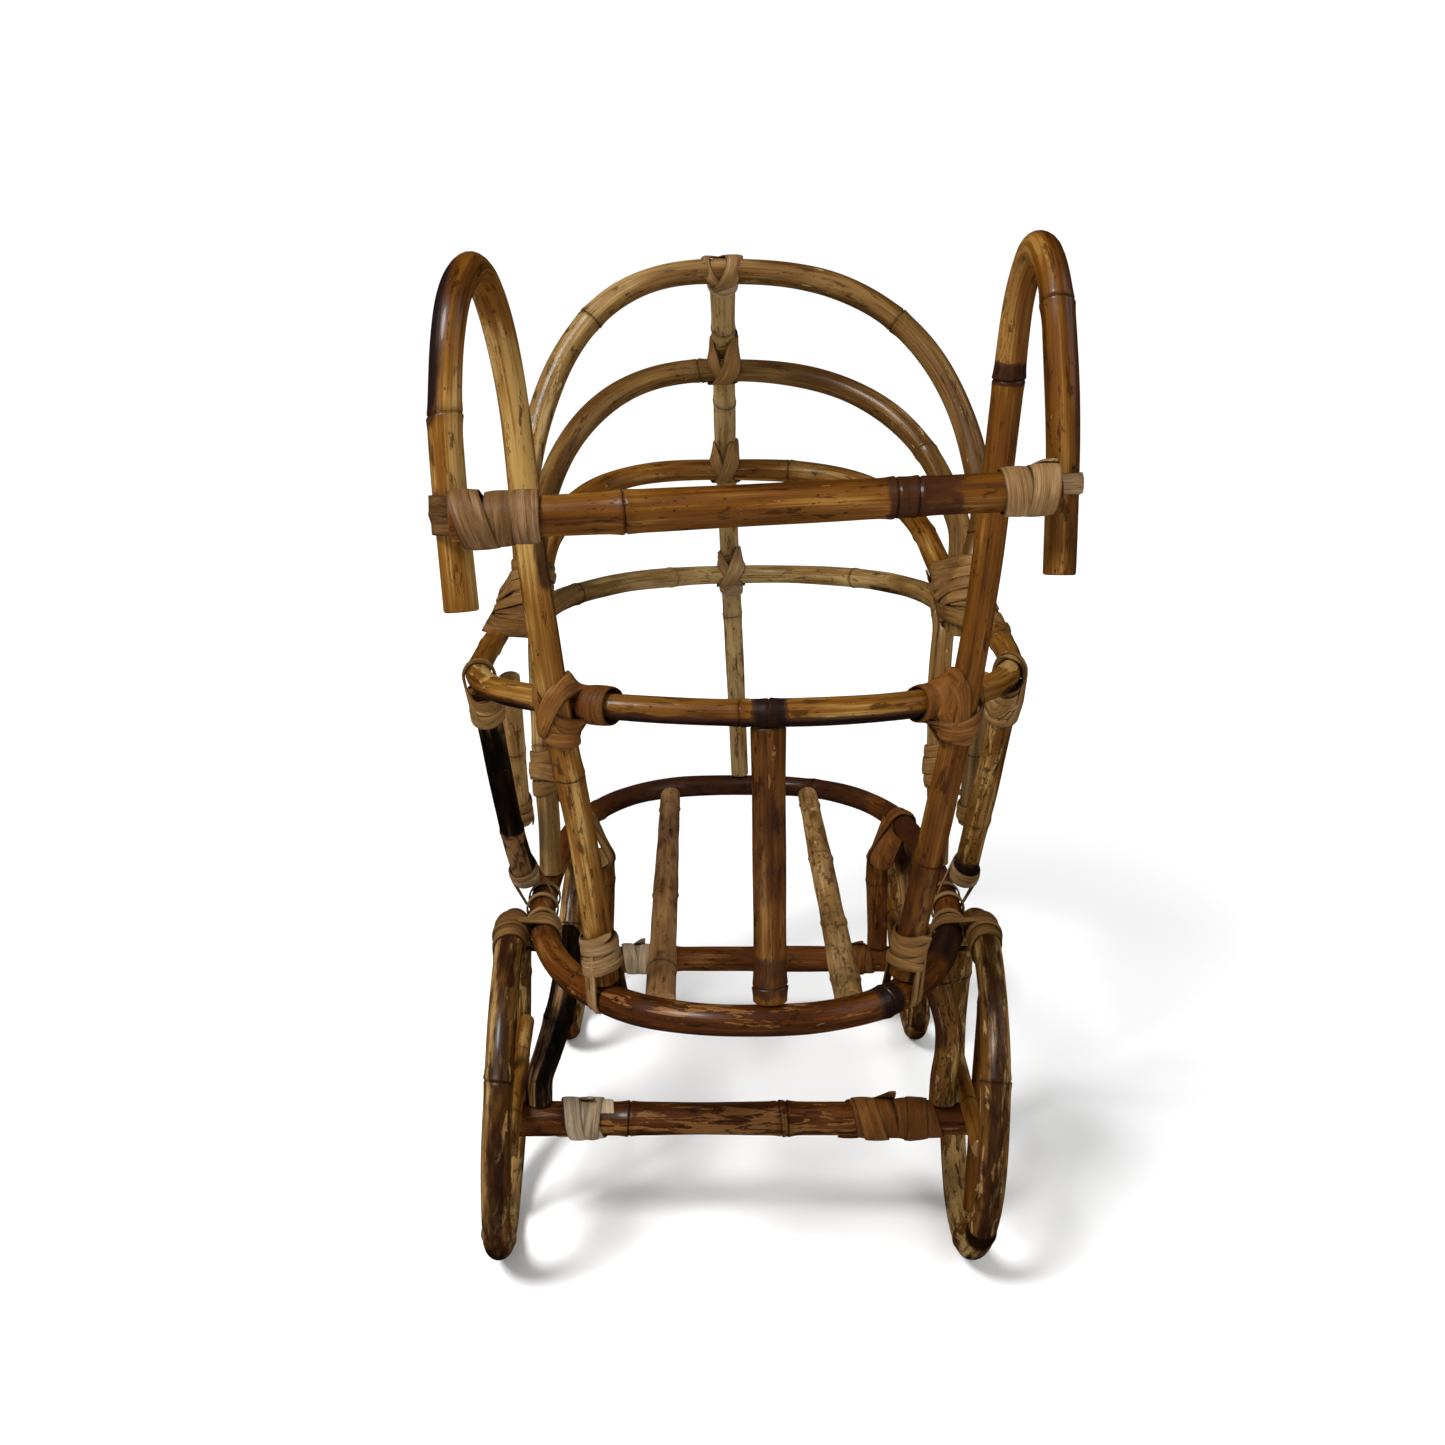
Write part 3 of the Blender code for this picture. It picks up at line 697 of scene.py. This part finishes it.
def split_section_of(depth):
    """A half-round section, flat on one side and this share of its half width deep on the other."""
    def section(angles):
        front = np.maximum(np.cos(angles), 0.0) * depth
        return front, np.sin(angles)
    return section


def add_split(node, depth, look, seed, joints, marks=()):
    """A split cane, flat behind and round in front, with its rind on the round side."""
    line, half_width, bulge = split_line(node)
    add_cane(node, smooth(line, step=2), half_width, (look, CUT), "split_cane", joints=joints, marks=marks,
             seed=seed, reference=tuple(bulge), section=split_section_of(depth))


add_split("seat_slat_left", 0.85, REDDISH, 21, (0.11, 0.60, 0.90), (("burn", 0.2, 60, 0.2),))
add_split("seat_slat_right", 0.85, PALE_SPLIT, 22, (0.08, 0.42, 0.72, 0.93))
add_split("upright_slat", 0.7, DARK_SPLIT, 23, (0.06,),
          (("burn", 0.55, 30, 0.28), ("burn", 0.1, 12, 0.4)))

WHEELS = {name: wheel_of(name) for name in ("rear_left", "rear_right", "front_left", "front_right")}
for seed, (name, (hub, up, ahead, outward, rim, thick)) in enumerate(WHEELS.items(), 30):
    angles = np.arange(RIM_POINTS) * math.tau / RIM_POINTS
    circle = [hub + rim * (math.cos(a) * ahead + math.sin(a) * up) for a in angles]
    toward = tuple(outward)
    marks = [("burn", 0.5, 1000, 0.40, TREAD), ("bare", 0.78, 40, 0.5), ("pale", 0.5, 1000, 0.5, toward)]
    if name == "rear_right":
        marks += [("burn", NEAR_LOW, 5, 1.1), ("pale", NEAR_LOW + 0.04, 14, 2.0)]
    add_cane(f"wheel_rim_{name}", np.array([tuple(p) for p in circle]), thick, (RIM, CUT), "golden_cane",
             joints=(0.06, 0.24, 0.43, 0.60, 0.71, 0.88), closed=True, seed=seed, reference=toward,
             floor=True, marks=marks)
    for spoke in ("upright", "level"):
        cane_from(f"wheel_spoke_{spoke}_{name}", GOLDEN if spoke == "level" else AMBER,
                  seed=seed * 3 + len(spoke), joints=(0.3, 0.78))


# ---- lashings


class Lashing:
    """Peel wound round canes. Every winding adds its strip to the object that stands for a CAD lashing."""

    def __init__(self, node, seed, centre=None):
        self.node = node
        self.random = random.Random(seed)
        if centre is None:
            low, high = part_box(node)
            centre = (low + high) / 2 / MM
        self.centre = np.array(tuple(centre))
        self.vertices, self.faces = [], []
        self.layers = {"strip": [], "edge": [], "shade": []}

    def wind(self, canes, axis, turns, width, lift, at=0, start=0.5, pitch=0, offset=(0, 0, 0), reach=24,
             wobble=0.35, shade=0.0, tail=None):
        """Winds a strip round the canes' outline across the axis.

        at is its place along the axis from the centre plus the offset, lift its height off the canes, start
        the share of a turn where it begins, pitch its advance in a turn, reach how far from the axis the
        outline goes, wobble its unevenness, and shade how much paler it is. tail is what loosen takes.
        """
        rng = self.random
        centre = self.centre + np.array(offset, float)
        axis = unit(axis)
        e1 = np.array(NEAR if abs(axis @ unit(NEAR)) < 0.9 else UP, float)
        e1 = unit(e1 - axis * (e1 @ axis))
        e2 = np.cross(axis, e1)
        half = width / 2
        low = at - half - OUTLINE_MARGIN + min(0, pitch * turns)
        high = at + half + OUTLINE_MARGIN + max(0, pitch * turns)
        canes = (canes,) if isinstance(canes, str) else canes
        relative = np.concatenate([CANES[cane] for cane in canes]) - centre
        heights = relative @ axis
        flat = np.stack([relative @ e1, relative @ e2], axis=1)
        near = np.linalg.norm(flat, axis=1) < reach
        near &= (heights > low - READ_MARGIN) & (heights < high + READ_MARGIN)
        heights, flat = heights[near], flat[near]
        levels = np.arange(low, high + OUTLINE_STEP, OUTLINE_STEP)
        bearing = np.arange(DIRECTIONS) * math.tau / DIRECTIONS
        ways = np.stack([np.cos(bearing), np.sin(bearing)], axis=1)
        shares = np.linspace(0, 1, OUTLINE_POINTS)
        outlines = []
        for level in levels:
            near = flat[np.abs(heights - level) < OUTLINE_SLAB]
            if len(near) < 6:
                outlines.append(None)
                continue
            shape = near[(near @ ways.T).argmax(axis=0)] + (lift + PEEL_GAP) * ways
            shape = np.vstack([shape, shape[:1]])
            run = np.concatenate([[0], np.cumsum(np.linalg.norm(np.diff(shape, axis=0), axis=1))])
            outline = [np.interp(shares, run / run[-1], shape[:, k]) for k in (0, 1)]
            outlines.append(np.stack(outline, axis=1))
        known = [i for i, o in enumerate(outlines) if o is not None]
        outlines = [outlines[min(known, key=lambda j: abs(j - i))] for i in range(len(outlines))]
        grid = np.array(outlines)
        around = np.linalg.norm(np.diff(grid[len(grid) // 2], axis=0), axis=1).sum()

        def on_skin(height, share):
            row = np.clip((height - levels[0]) / OUTLINE_STEP, 0, len(levels) - 1.001)
            i = row.astype(int)
            f = (row - i)[..., None]
            column = np.mod(share, 1.0) * (len(shares) - 1)
            j = np.minimum(column.astype(int), len(shares) - 2)
            g = (column - j)[..., None]
            near = grid[i, j] * (1 - g) + grid[i, j + 1] * g
            far = grid[i + 1, j] * (1 - g) + grid[i + 1, j + 1] * g
            return near * (1 - f) + far * f

        steps = max(8, round(turns * STEPS_PER_TURN))
        u = np.linspace(0, turns, steps + 1)
        phase = [rng.uniform(0, math.tau) for _ in range(5)]
        drift = wobble * (np.sin(u * 4.1 + phase[0]) + 0.6 * np.sin(u * 9.3 + phase[1]))
        widths = half * (1 + 0.07 * np.sin(u * 5.3 + phase[2]) + 0.04 * np.sin(u * 13.1 + phase[3]))
        rise = 0.12 * (1 + np.sin(u * 7.7 + phase[4]))
        across = np.array(PEEL_ACROSS)
        height = (at + pitch * u + drift)[:, None] + across[None] * widths[:, None]
        plane = on_skin(height, (u + start)[:, None] * np.ones_like(across))
        ground = centre + plane[..., :1] * e1 + plane[..., 1:] * e2 + height[..., None] * axis
        along = np.gradient(ground[:, len(across) // 2], axis=0)
        outward = np.cross(along, axis)
        outward /= np.linalg.norm(outward, axis=1, keepdims=True) + 1e-9
        for _ in range(2):
            before, after = np.vstack([outward[:1], outward[:-1]]), np.vstack([outward[1:], outward[-1:]])
            outward = (before + outward + after) / 3
        outward /= np.linalg.norm(outward, axis=1, keepdims=True)
        crown = PEEL_THICK * (1 - 0.45 * np.abs(across) ** 3)
        lower = ground + outward[:, None] * rise[:, None, None]
        upper = lower + outward[:, None] * crown[None, :, None]
        mm_along = u * around
        if tail:
            lower, upper, mm_along = self.loosen(lower, upper, mm_along, outward[-1], axis, tail)
        self.add_strip(lower, upper, mm_along, half, shade)

    @staticmethod
    def loosen(lower, upper, mm_along, outward, axis, tail):
        """Carries a strip on past its end.

        tail is its length, rise off the cane, drift along the axis and share of the width at its tip.
        """
        length, rise, lean, tip = tail
        mid = lower.shape[1] // 2
        way = unit(lower[-1, mid] - lower[-3, mid])
        more_lower, more_upper, more_along = [], [], []
        for k in range(1, TAIL_STEPS + 1):
            t = k / TAIL_STEPS
            shift = way * length * t + outward * rise * t**1.7 + np.array(axis) * lean * t**1.5
            squeeze = 1 + (tip - 1) * t**1.5
            for source, target in ((lower, more_lower), (upper, more_upper)):
                centre = source[-1, mid]
                target.append(centre + (source[-1] - centre) * squeeze + shift)
            more_along.append(mm_along[-1] + length * t)
        return (np.concatenate([lower, more_lower]), np.concatenate([upper, more_upper]),
                np.concatenate([mm_along, more_along]))

    def add_strip(self, lower, upper, mm_along, half, shade):
        rows, columns = lower.shape[:2]
        base = sum(len(v) for v in self.vertices)
        loop = np.concatenate([upper, lower[:, ::-1]], axis=1)
        around = 2 * columns
        self.vertices.append(loop.reshape(-1, 3))
        across = np.array(PEEL_ACROSS)
        across = np.concatenate([across, across[::-1]])
        tone = self.random.uniform(-0.07, 0.07) + shade
        offset = self.random.uniform(0, 500)
        self.faces += tube_faces(rows, around, base=base)
        strip = np.zeros((rows, around, 3))
        strip[..., 0] = across * half + offset
        strip[..., 1] = mm_along[:, None]
        strip[..., 2] = offset
        self.layers["strip"].append(strip.reshape(-1, 3))
        self.layers["edge"].append(np.tile(np.abs(across), rows))
        self.layers["shade"].append(np.repeat(tone + 0.03 * np.sin(mm_along / 9 + offset), around))

    def finish(self, look, replaces=True):
        layers = {name: np.concatenate(values) for name, values in self.layers.items()}
        piece = new_object(self.node, np.concatenate(self.vertices), self.faces, layers, (look,), sharp=50)
        if replaces:
            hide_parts(self.node)
        return piece


def nearest(cane, point):
    """The place of the point of the cane's centre line that is nearest, and that point."""
    pts = LINES[cane].points
    i = int(np.linalg.norm(pts - np.asarray(point), axis=1).argmin())
    return i, pts[i]


def direction(cane, point):
    """The cane's direction where it passes nearest the point, pointing up, or right if it is level."""
    pts = LINES[cane].points
    i, _ = nearest(cane, point)
    t = unit(pts[min(i + 3, len(pts) - 1)] - pts[max(i - 3, 0)])
    return t if t[2] > 0.3 or (abs(t[2]) <= 0.3 and t[0] >= 0) else -t


# Centre lines, by their nodes' names
LINES = {}
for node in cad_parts:
    if "lashing" in node or "cuff" in node or "slat" in node or "rim" in node or node == "base_ring":
        continue
    LINES[node] = Line(smooth(centre_line(node)[0]))
LINES["base_ring"] = Line(smooth(hoop_line("base_ring")[0], closed=True), closed=True)

# grip bar on the crooks' hanging legs
knot = Lashing("grip_lashing_left", 100)
bar = unit(LINES["grip_bar"].points[-1] - LINES["grip_bar"].points[0])
leg = direction("handle_crook_left", knot.centre + np.array((-10.0, 8, 0)))
knot.wind(("grip_bar", "handle_crook_left"), leg + bar * 0.10, 1.2, 11.5, lift=0.6, offset=(-10, 5, 0),
          reach=13.5, wobble=0.15, shade=-0.08)
knot.wind("grip_bar", bar + leg * 0.22, 1.2, 10.0, lift=1.9, at=-2.6, start=0.4, reach=20)
knot.wind("grip_bar", bar, 1.2, 8.4, lift=1.2, at=5.4, start=0.45, wobble=0.15, shade=0.04)
knot.wind("grip_bar", bar + leg * 0.02, 1.2, 8.6, lift=1.0, at=12.6, wobble=0.15, shade=0.06)
knot.finish(SMOKED_PEEL)
knot = Lashing("grip_lashing_right", 102)
leg = direction("handle_crook_right", knot.centre + np.array((10.0, 8, 0)))
knot.wind(("grip_bar", "handle_crook_right"), leg - bar * 0.04, 1.2, 7.0, lift=0.4, at=1.8,
          offset=(12, 5, 0), reach=13.5, wobble=0.15, shade=0.16)
knot.wind("grip_bar", bar + leg * 0.04, 1.2, 8.8, lift=0.5, at=-6.5, start=0.4, shade=-0.04)
knot.wind("grip_bar", bar - leg * 0.16, 1.2, 9.0, lift=0.8, at=1.4, start=0.45, shade=0.04,
          tail=(4, 0.1, 1, 0.5))
knot.finish(PALE_PEEL)

# arm rail on the crooks' rising legs
knot = Lashing("rail_lashing_left", 120)
rail = direction("arm_rail", knot.centre)
leg = direction("handle_crook_left", knot.centre)
both = ("arm_rail", "handle_crook_left")
knot.wind(both, leg * 0.66 + rail * 0.75, 1.15, 7.4, lift=0.2, reach=13, shade=-0.06)
knot.wind(both, leg * 0.5 + rail * 0.87, 1.1, 6.5, lift=0.9, at=-2, start=0.45, reach=13, shade=-0.02)
knot.wind(both, leg * 0.53 - rail * 0.85, 1.15, 7.8, lift=1.6, start=0.4, reach=13.5, shade=0.07)
knot.wind("arm_rail", rail, 1.3, 10.4, lift=1.7, at=12.5, wobble=0.2, shade=-0.07)
knot.wind("handle_crook_left", leg + rail * 0.3, 1.2, 6.4, lift=0.5, at=-9, start=0.45, shade=0.02)
knot.finish(AMBER_PEEL)
knot = Lashing("rail_lashing_right", 122)
rail = direction("arm_rail", knot.centre)
leg = direction("handle_crook_right", knot.centre)
both = ("arm_rail", "handle_crook_right")
knot.wind(both, rail + leg * 0.12, 1.2, 8.4, lift=0.4, at=-6.0, reach=15, shade=-0.08)
knot.wind(both, rail - leg * 0.10, 1.1, 6.4, lift=1.0, at=-10.5, start=0.4, reach=15, shade=-0.04)
knot.wind(both, leg * 0.86 - rail * 0.5, 1.15, 7.2, lift=1.0, at=-3.5, reach=15, shade=0.05)
knot.wind(both, leg * 0.96 - rail * 0.3, 1.1, 5.0, lift=1.3, at=-7.5, reach=15, shade=0.02)
knot.wind("handle_crook_right", leg, 1.2, 5.4, lift=0.5, at=-10.5, start=0.3)
knot.finish(AMBER_PEEL)

# crooks' feet on the seat hoop
for side, sign in SIDES:
    knot = Lashing(f"crook_lashing_{side}", 140 + sign)
    crook = f"handle_crook_{side}"
    leg = direction(crook, knot.centre)
    hoop = direction("base_ring", knot.centre)
    knot.wind(crook, leg + hoop * 0.05, 3.2, 5.0, pitch=4.6, lift=0.3, at=-2.0, start=0.45, wobble=0.5)
    knot.wind(crook, leg - hoop * 0.14, 2.3, 4.8, pitch=4.8, lift=1.1, at=2.0, start=0.75, wobble=0.7,
              shade=0.05, tail=(4, 2.0, 1.5, 0.3))
    knot.wind(crook, leg + hoop * 0.30 * sign, 1.1, 4.2, lift=1.5, at=-1.5, start=0.4, wobble=0.5,
              shade=0.03)
    knot.wind(("base_ring", crook), hoop, 1.15, 3.6, lift=0.3, at=-1.6, start=0.2, offset=(0, 0, -6),
              reach=13.5)
    knot.wind(("base_ring", crook), hoop, 1.15, 3.4, lift=0.8, at=1.8, start=0.3, offset=(0, 0, -6),
              reach=13.5, shade=0.05)
    knot.finish(PALE_PEEL if side == "left" else PEEL)

# hood bundles on the arm rail's ends
for side, sign in SIDES:
    knot = Lashing(f"hood_lashing_{side}", 160 + sign)
    bundle = ("arm_rail", "hood_arch_1", "hood_arch_2", "hood_arch_3")
    knot.wind(bundle, (0.10, 0.14, 1), 6.4, 5.6, pitch=4.9, lift=0.2, at=-13, start=0.1, reach=34)
    knot.wind(bundle, (-0.10, 0.25, 1), 3.2, 5.0, pitch=5.6, lift=1.0, at=-4, start=0.4, reach=34,
              shade=0.05, tail=(7, 0.5, 3, 0.4))
    knot.wind(bundle, (0.22, 0.05, 1), 1.2, 6.8, lift=1.2, at=-10, start=0.3, reach=34, shade=-0.12)
    knot.finish(PEEL)

# braces' tops on the arm rail's corners, and their feet on the hoop
for side, sign in SIDES:
    knot = Lashing(f"brace_lashing_{side}", 180 + sign)
    brace = f"side_brace_{side}"
    along = direction(brace, knot.centre)
    rail = direction("arm_rail", knot.centre)
    both = ("arm_rail", brace)
    knot.wind(brace, along + rail * 0.06, 4.4, 4.8, pitch=4.2, lift=0.3, at=-13, start=0.3, shade=0.04)
    knot.wind(brace, along - rail * 0.12, 3.6, 4.6, pitch=4.4, lift=1.0, at=-12, start=0.6, shade=0.07)
    if side == "right":
        knot.wind(both, (0.72, 0.66, 0.1), 1.2, 8.0, lift=0.9, at=2, reach=15, shade=0.05)
        knot.wind(both, (0.80, 0.5, -0.3), 1.15, 6.0, lift=1.5, at=-3, reach=15, shade=0.02)
    top = LINES[brace].points[-1]
    here = (top + nearest("arm_rail", top)[1]) / 2 - knot.centre
    strap = 3.4 if side == "left" else 8.0
    knot.wind(both, rail, 1.2, strap, lift=0.3, start=0.6, offset=here, reach=12.5, shade=-0.03)
    knot.wind(both, rail + along * 0.25, 1.15, strap * 0.8, lift=0.8, at=strap * 0.4, start=0.6,
              offset=here, reach=12.5)
    knot.finish(PEEL)
    cuff = Lashing(f"brace_cuff_{side}", 200 + sign)
    foot = LINES[brace].points[0]
    along = direction(brace, foot)
    here = foot - cuff.centre
    hoop = direction("base_ring", cuff.centre)
    ring_here = nearest("base_ring", foot)[1] - cuff.centre
    cuff.wind(brace, along, 1.3, 6.0, lift=0.6, at=3.4, start=0.2, offset=here, wobble=0.2, shade=0.08)
    cuff.wind(brace, along + np.array((0.2 * sign, 0, 0)), 1.2, 5.0, lift=0.4, at=6.5, start=0.2,
              offset=here)
    cuff.wind("base_ring", hoop, 1.2, 5.4, lift=0.5, at=-9, start=0.3, offset=ring_here, shade=0.06)
    cuff.wind("base_ring", hoop, 1.2, 4.6, lift=0.5, at=9, start=0.3, offset=ring_here)
    cuff.wind(("base_ring", brace), (0, 1, 0), 1.1, 3.6, lift=0.3, at=-1, start=0.3, offset=here, reach=15)
    cuff.finish(PALE_PEEL)

# front struts under the hoop, rear rims on the hoop
for side, sign in SIDES:
    knot = Lashing(f"strut_lashing_{side}", 220 + sign)
    strut = f"strut_front_{side}"
    along = (-0.3 * sign, 1, 0)
    knot.wind(("base_ring", strut), along, 2.4, 7.5, pitch=5.2, lift=0.2, at=-6, reach=19)
    knot.wind(("base_ring", strut), (-0.3 * sign, 1, 0.45), 1.2, 7.2, lift=1.2, at=1, reach=19, shade=0.05)
    knot.finish(PEEL if side == "left" else DARK_PEEL)
    knot = Lashing(f"rim_lashing_{side}", 240 + sign)
    rim = f"wheel_rim_rear_{side}"
    hub, up, _, _, reach, _ = WHEELS[f"rear_{side}"]
    top = np.array(tuple(hub + up * reach))
    here = top - knot.centre
    beside = nearest("base_ring", top)[1] - knot.centre
    knot.wind(rim, (0, 1, 0), 3.2, 9.5, pitch=8.0, lift=0.25, at=-18, start=0.4, offset=here, reach=40,
              shade=-0.08)
    knot.wind(rim, (0.1 * sign, 1, 0.2), 1.15, 6.0, lift=0.9, at=-6, start=0.4, offset=here, reach=40)
    knot.wind(("base_ring", rim), (0, 1, 0.10), 1.15, 6.0, lift=0.4, at=-3, start=0.4, reach=19,
              shade=-0.03)
    for tilt, at, lift in ((-0.35, -4.0, 0.4), (-0.15, 0.5, 0.8), (-0.45, 4.0, 1.1)):
        knot.wind("base_ring", (0, 1, tilt), 1.15, 3.8, lift=lift, at=at, start=0.3, offset=beside,
                  shade=0.06)
    knot.finish(PEEL)

# hood arches on the spine
for place, rib in enumerate(("hood_arch_1", "hood_arch_2", "hood_arch_3", "back_arch"), 1):
    knot = Lashing(f"spine_lashing_{place}", 260 + place)
    spine = direction("hood_spine", knot.centre)
    rung = direction(rib, knot.centre)
    both = (rib, "hood_spine")
    knot.wind(both, rung * 0.8 + spine * 0.6, 1.1, 5.4, lift=0.2, reach=13.5, shade=-0.03)
    knot.wind(both, spine * 0.5 - rung * 0.87, 1.15, 8.2, lift=0.8, start=0.45, reach=13.8, shade=0.04)
    knot.wind("hood_spine", spine, 2.2, 4.2, pitch=-3.8, lift=0.4, at=-8.0, start=0.2, wobble=0.5,
              shade=0.16)
    if place in (2, 4):
        knot.wind("hood_spine", spine - rung * 0.35, 1.2, 6.0, lift=0.4, at=7.0, start=0.4, wobble=0.5)
    knot.finish(PALE_PEEL if place in (1, 4) else PEEL)

# wheels' axles
for end in ("rear", "front"):
    for side, sign in SIDES:
        knot = Lashing(f"hub_lashing_{end}_{side}", 280 + sign + len(end))
        axle = f"axle_{end}"
        low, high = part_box(knot.node)
        run = (high.x - low.x) / MM
        broad = 7.4 if side == "left" else 9.6
        count = run / broad
        knot.wind(axle, (1, 0, 0), count - 0.1, broad * 1.06, pitch=broad, lift=0.2,
                  at=-run / 2 + broad / 2, start=0.2)
        knot.wind(axle, (1, 0.04, 0.06), 1.3, broad * 1.05, pitch=broad * 0.9, lift=1.1, at=-run / 4,
                  start=0.4, wobble=0.6, shade=0.05, tail=(8, 1.5, 2.0, 0.3))
        knot.wind(axle, (1, -0.05, -0.04), 1.1, broad, lift=1.0, at=run / 2 - broad / 2, start=0.6)
        knot.finish(WHITE_PEEL if side == "left" else DARK_PEEL)

# sleeves on the hood's posts, and the stays' lower ends tied to them
for side, sign in SIDES:
    post = LINES["back_arch"].points
    post = post[(np.abs(post[:, 2] - 208) < 4) & (post[:, 0] * sign >= 0)]
    knot = Lashing(f"post_lashing_{side}", 300 + sign, centre=post.mean(axis=0))
    knot.wind("back_arch", (0.05, 0, 1), 3.3, 7.4, pitch=6.6, lift=0.3, at=-9, start=0.2, wobble=0.8)
    knot.wind("back_arch", (-0.1 * sign, 0.1, 1), 1.3, 8.0, lift=1.2, at=2, wobble=0.8, shade=0.04)
    knot.finish(PEEL, replaces=False)
    stay = LINES[f"arm_stay_{side}"].points
    knot = Lashing(f"stay_lashing_{side}", 310 + sign, centre=stay[0] + np.array((0, -1, 4)))
    knot.wind(f"arm_stay_{side}", stay[8] - stay[0], 2.3, 5.2, pitch=4.8, lift=0.3, at=-2, start=0.2,
              tail=(6, 1.5, -1, 0.3))
    knot.finish(PEEL, replaces=False)


# ---- floor, light and camera


def add_stage_piece(name, bm, look, unseen_by):
    """A piece of the studio from a bmesh, which the named kinds of ray pass through."""
    mesh = bpy.data.meshes.new(name)
    bm.to_mesh(mesh)
    bm.free()
    mesh.materials.append(look)
    piece = linked(name, mesh)
    for ray in unseen_by:
        setattr(piece, f"visible_{ray}", False)


def add_floor():
    """A wide pale sheet that glows more the farther it is from the object: painted light that whitens the far
    floor.
    """
    bm = bmesh.new()
    for x, y in ((-1, -1), (1, -1), (1, 1), (-1, 1)):
        bm.verts.new((x * FLOOR_HALF, y * FLOOR_HALF, 0.0))
    bm.faces.new(bm.verts)
    n = Nodes(bpy.data.materials.new("pale floor"))
    place = n.place()
    n.set("Base Color", n.mix(n.noise(place, detail=2), (0.90, 0.90, 0.90), (0.93, 0.93, 0.93)))
    away = n.new("VectorMath", {0: place}, operation="LENGTH").outputs["Value"]
    # painted light: the floor glows, not at all near the object and more farther off
    n.set("Emission Color", WHITE)
    n.set("Emission Strength", n.step(away, 0.5, 1.8, to=(0.0, 0.6)))
    n.set("Roughness", 0.9)
    n.set("Specular IOR Level", 0.1)
    add_stage_piece("floor", bm, n.owner, ("glossy",))


def add_backdrop():
    """A white dome far behind everything, seen but giving no light of its own."""
    bm = bmesh.new()
    bmesh.ops.create_uvsphere(bm, u_segments=48, v_segments=24, radius=DOME_RADIUS)
    n = Nodes(bpy.data.materials.new("white backdrop"))
    place = n.place()
    n.set("Emission Strength", n.step(n.noise(place, detail=1), 0.0, 1.0, to=(1.02, 1.06)))
    n.set("Emission Color", WHITE)
    n.set("Base Color", (0.0, 0.0, 0.0, 1.0))
    n.set("Specular IOR Level", 0.0)
    add_stage_piece("backdrop", bm, n.owner, ("diffuse", "glossy", "shadow", "transmission"))


def add_light(name, place, size, watts):
    """A round lamp aimed at the middle of the object."""
    data = bpy.data.lights.new(name, "AREA")
    data.shape = "DISK"
    data.size = size
    data.energy = watts
    light = linked(name, data)
    light.location = place
    light.rotation_mode = "QUATERNION"
    light.rotation_quaternion = (Vector(LIT_POINT) - Vector(place)).to_track_quat("-Z", "Y")


def add_camera():
    data = bpy.data.cameras.new("camera")
    data.sensor_width = 36.0
    data.lens = CAMERA_LENS
    data.shift_x = CAMERA_SHIFT
    camera = linked("camera", data)
    camera.location = Vector(CAMERA_PLACE) * MM
    camera.rotation_euler = (math.radians(CAMERA_TILT), 0.0, 0.0)
    bpy.context.scene.camera = camera


def add_world():
    """Soft light from all round, brightest behind the object. It gives no reflections: the lights do."""
    world = bpy.data.worlds.new("studio")
    n = Nodes(world, "Background")
    way = n.new("TexCoord").outputs["Generated"]
    behind = n.new("VectorMath", {0: way, 1: (0.0, 1.0, 0.0)}, operation="DOT_PRODUCT").outputs["Value"]
    n.set("Strength", n.step(behind, 0.35, 0.75, to=(0.46, 1.06)))
    n.set("Color", WHITE)
    world.cycles_visibility.glossy = False
    bpy.context.scene.world = world


add_floor()
add_backdrop()
add_camera()
add_light("key", (-0.75, -1.1, 1.55), size=0.6, watts=50)
add_light("fill", (1.3, -0.5, 1.1), size=1.2, watts=8)
add_world()
bpy.context.scene.view_settings.view_transform = "Standard"
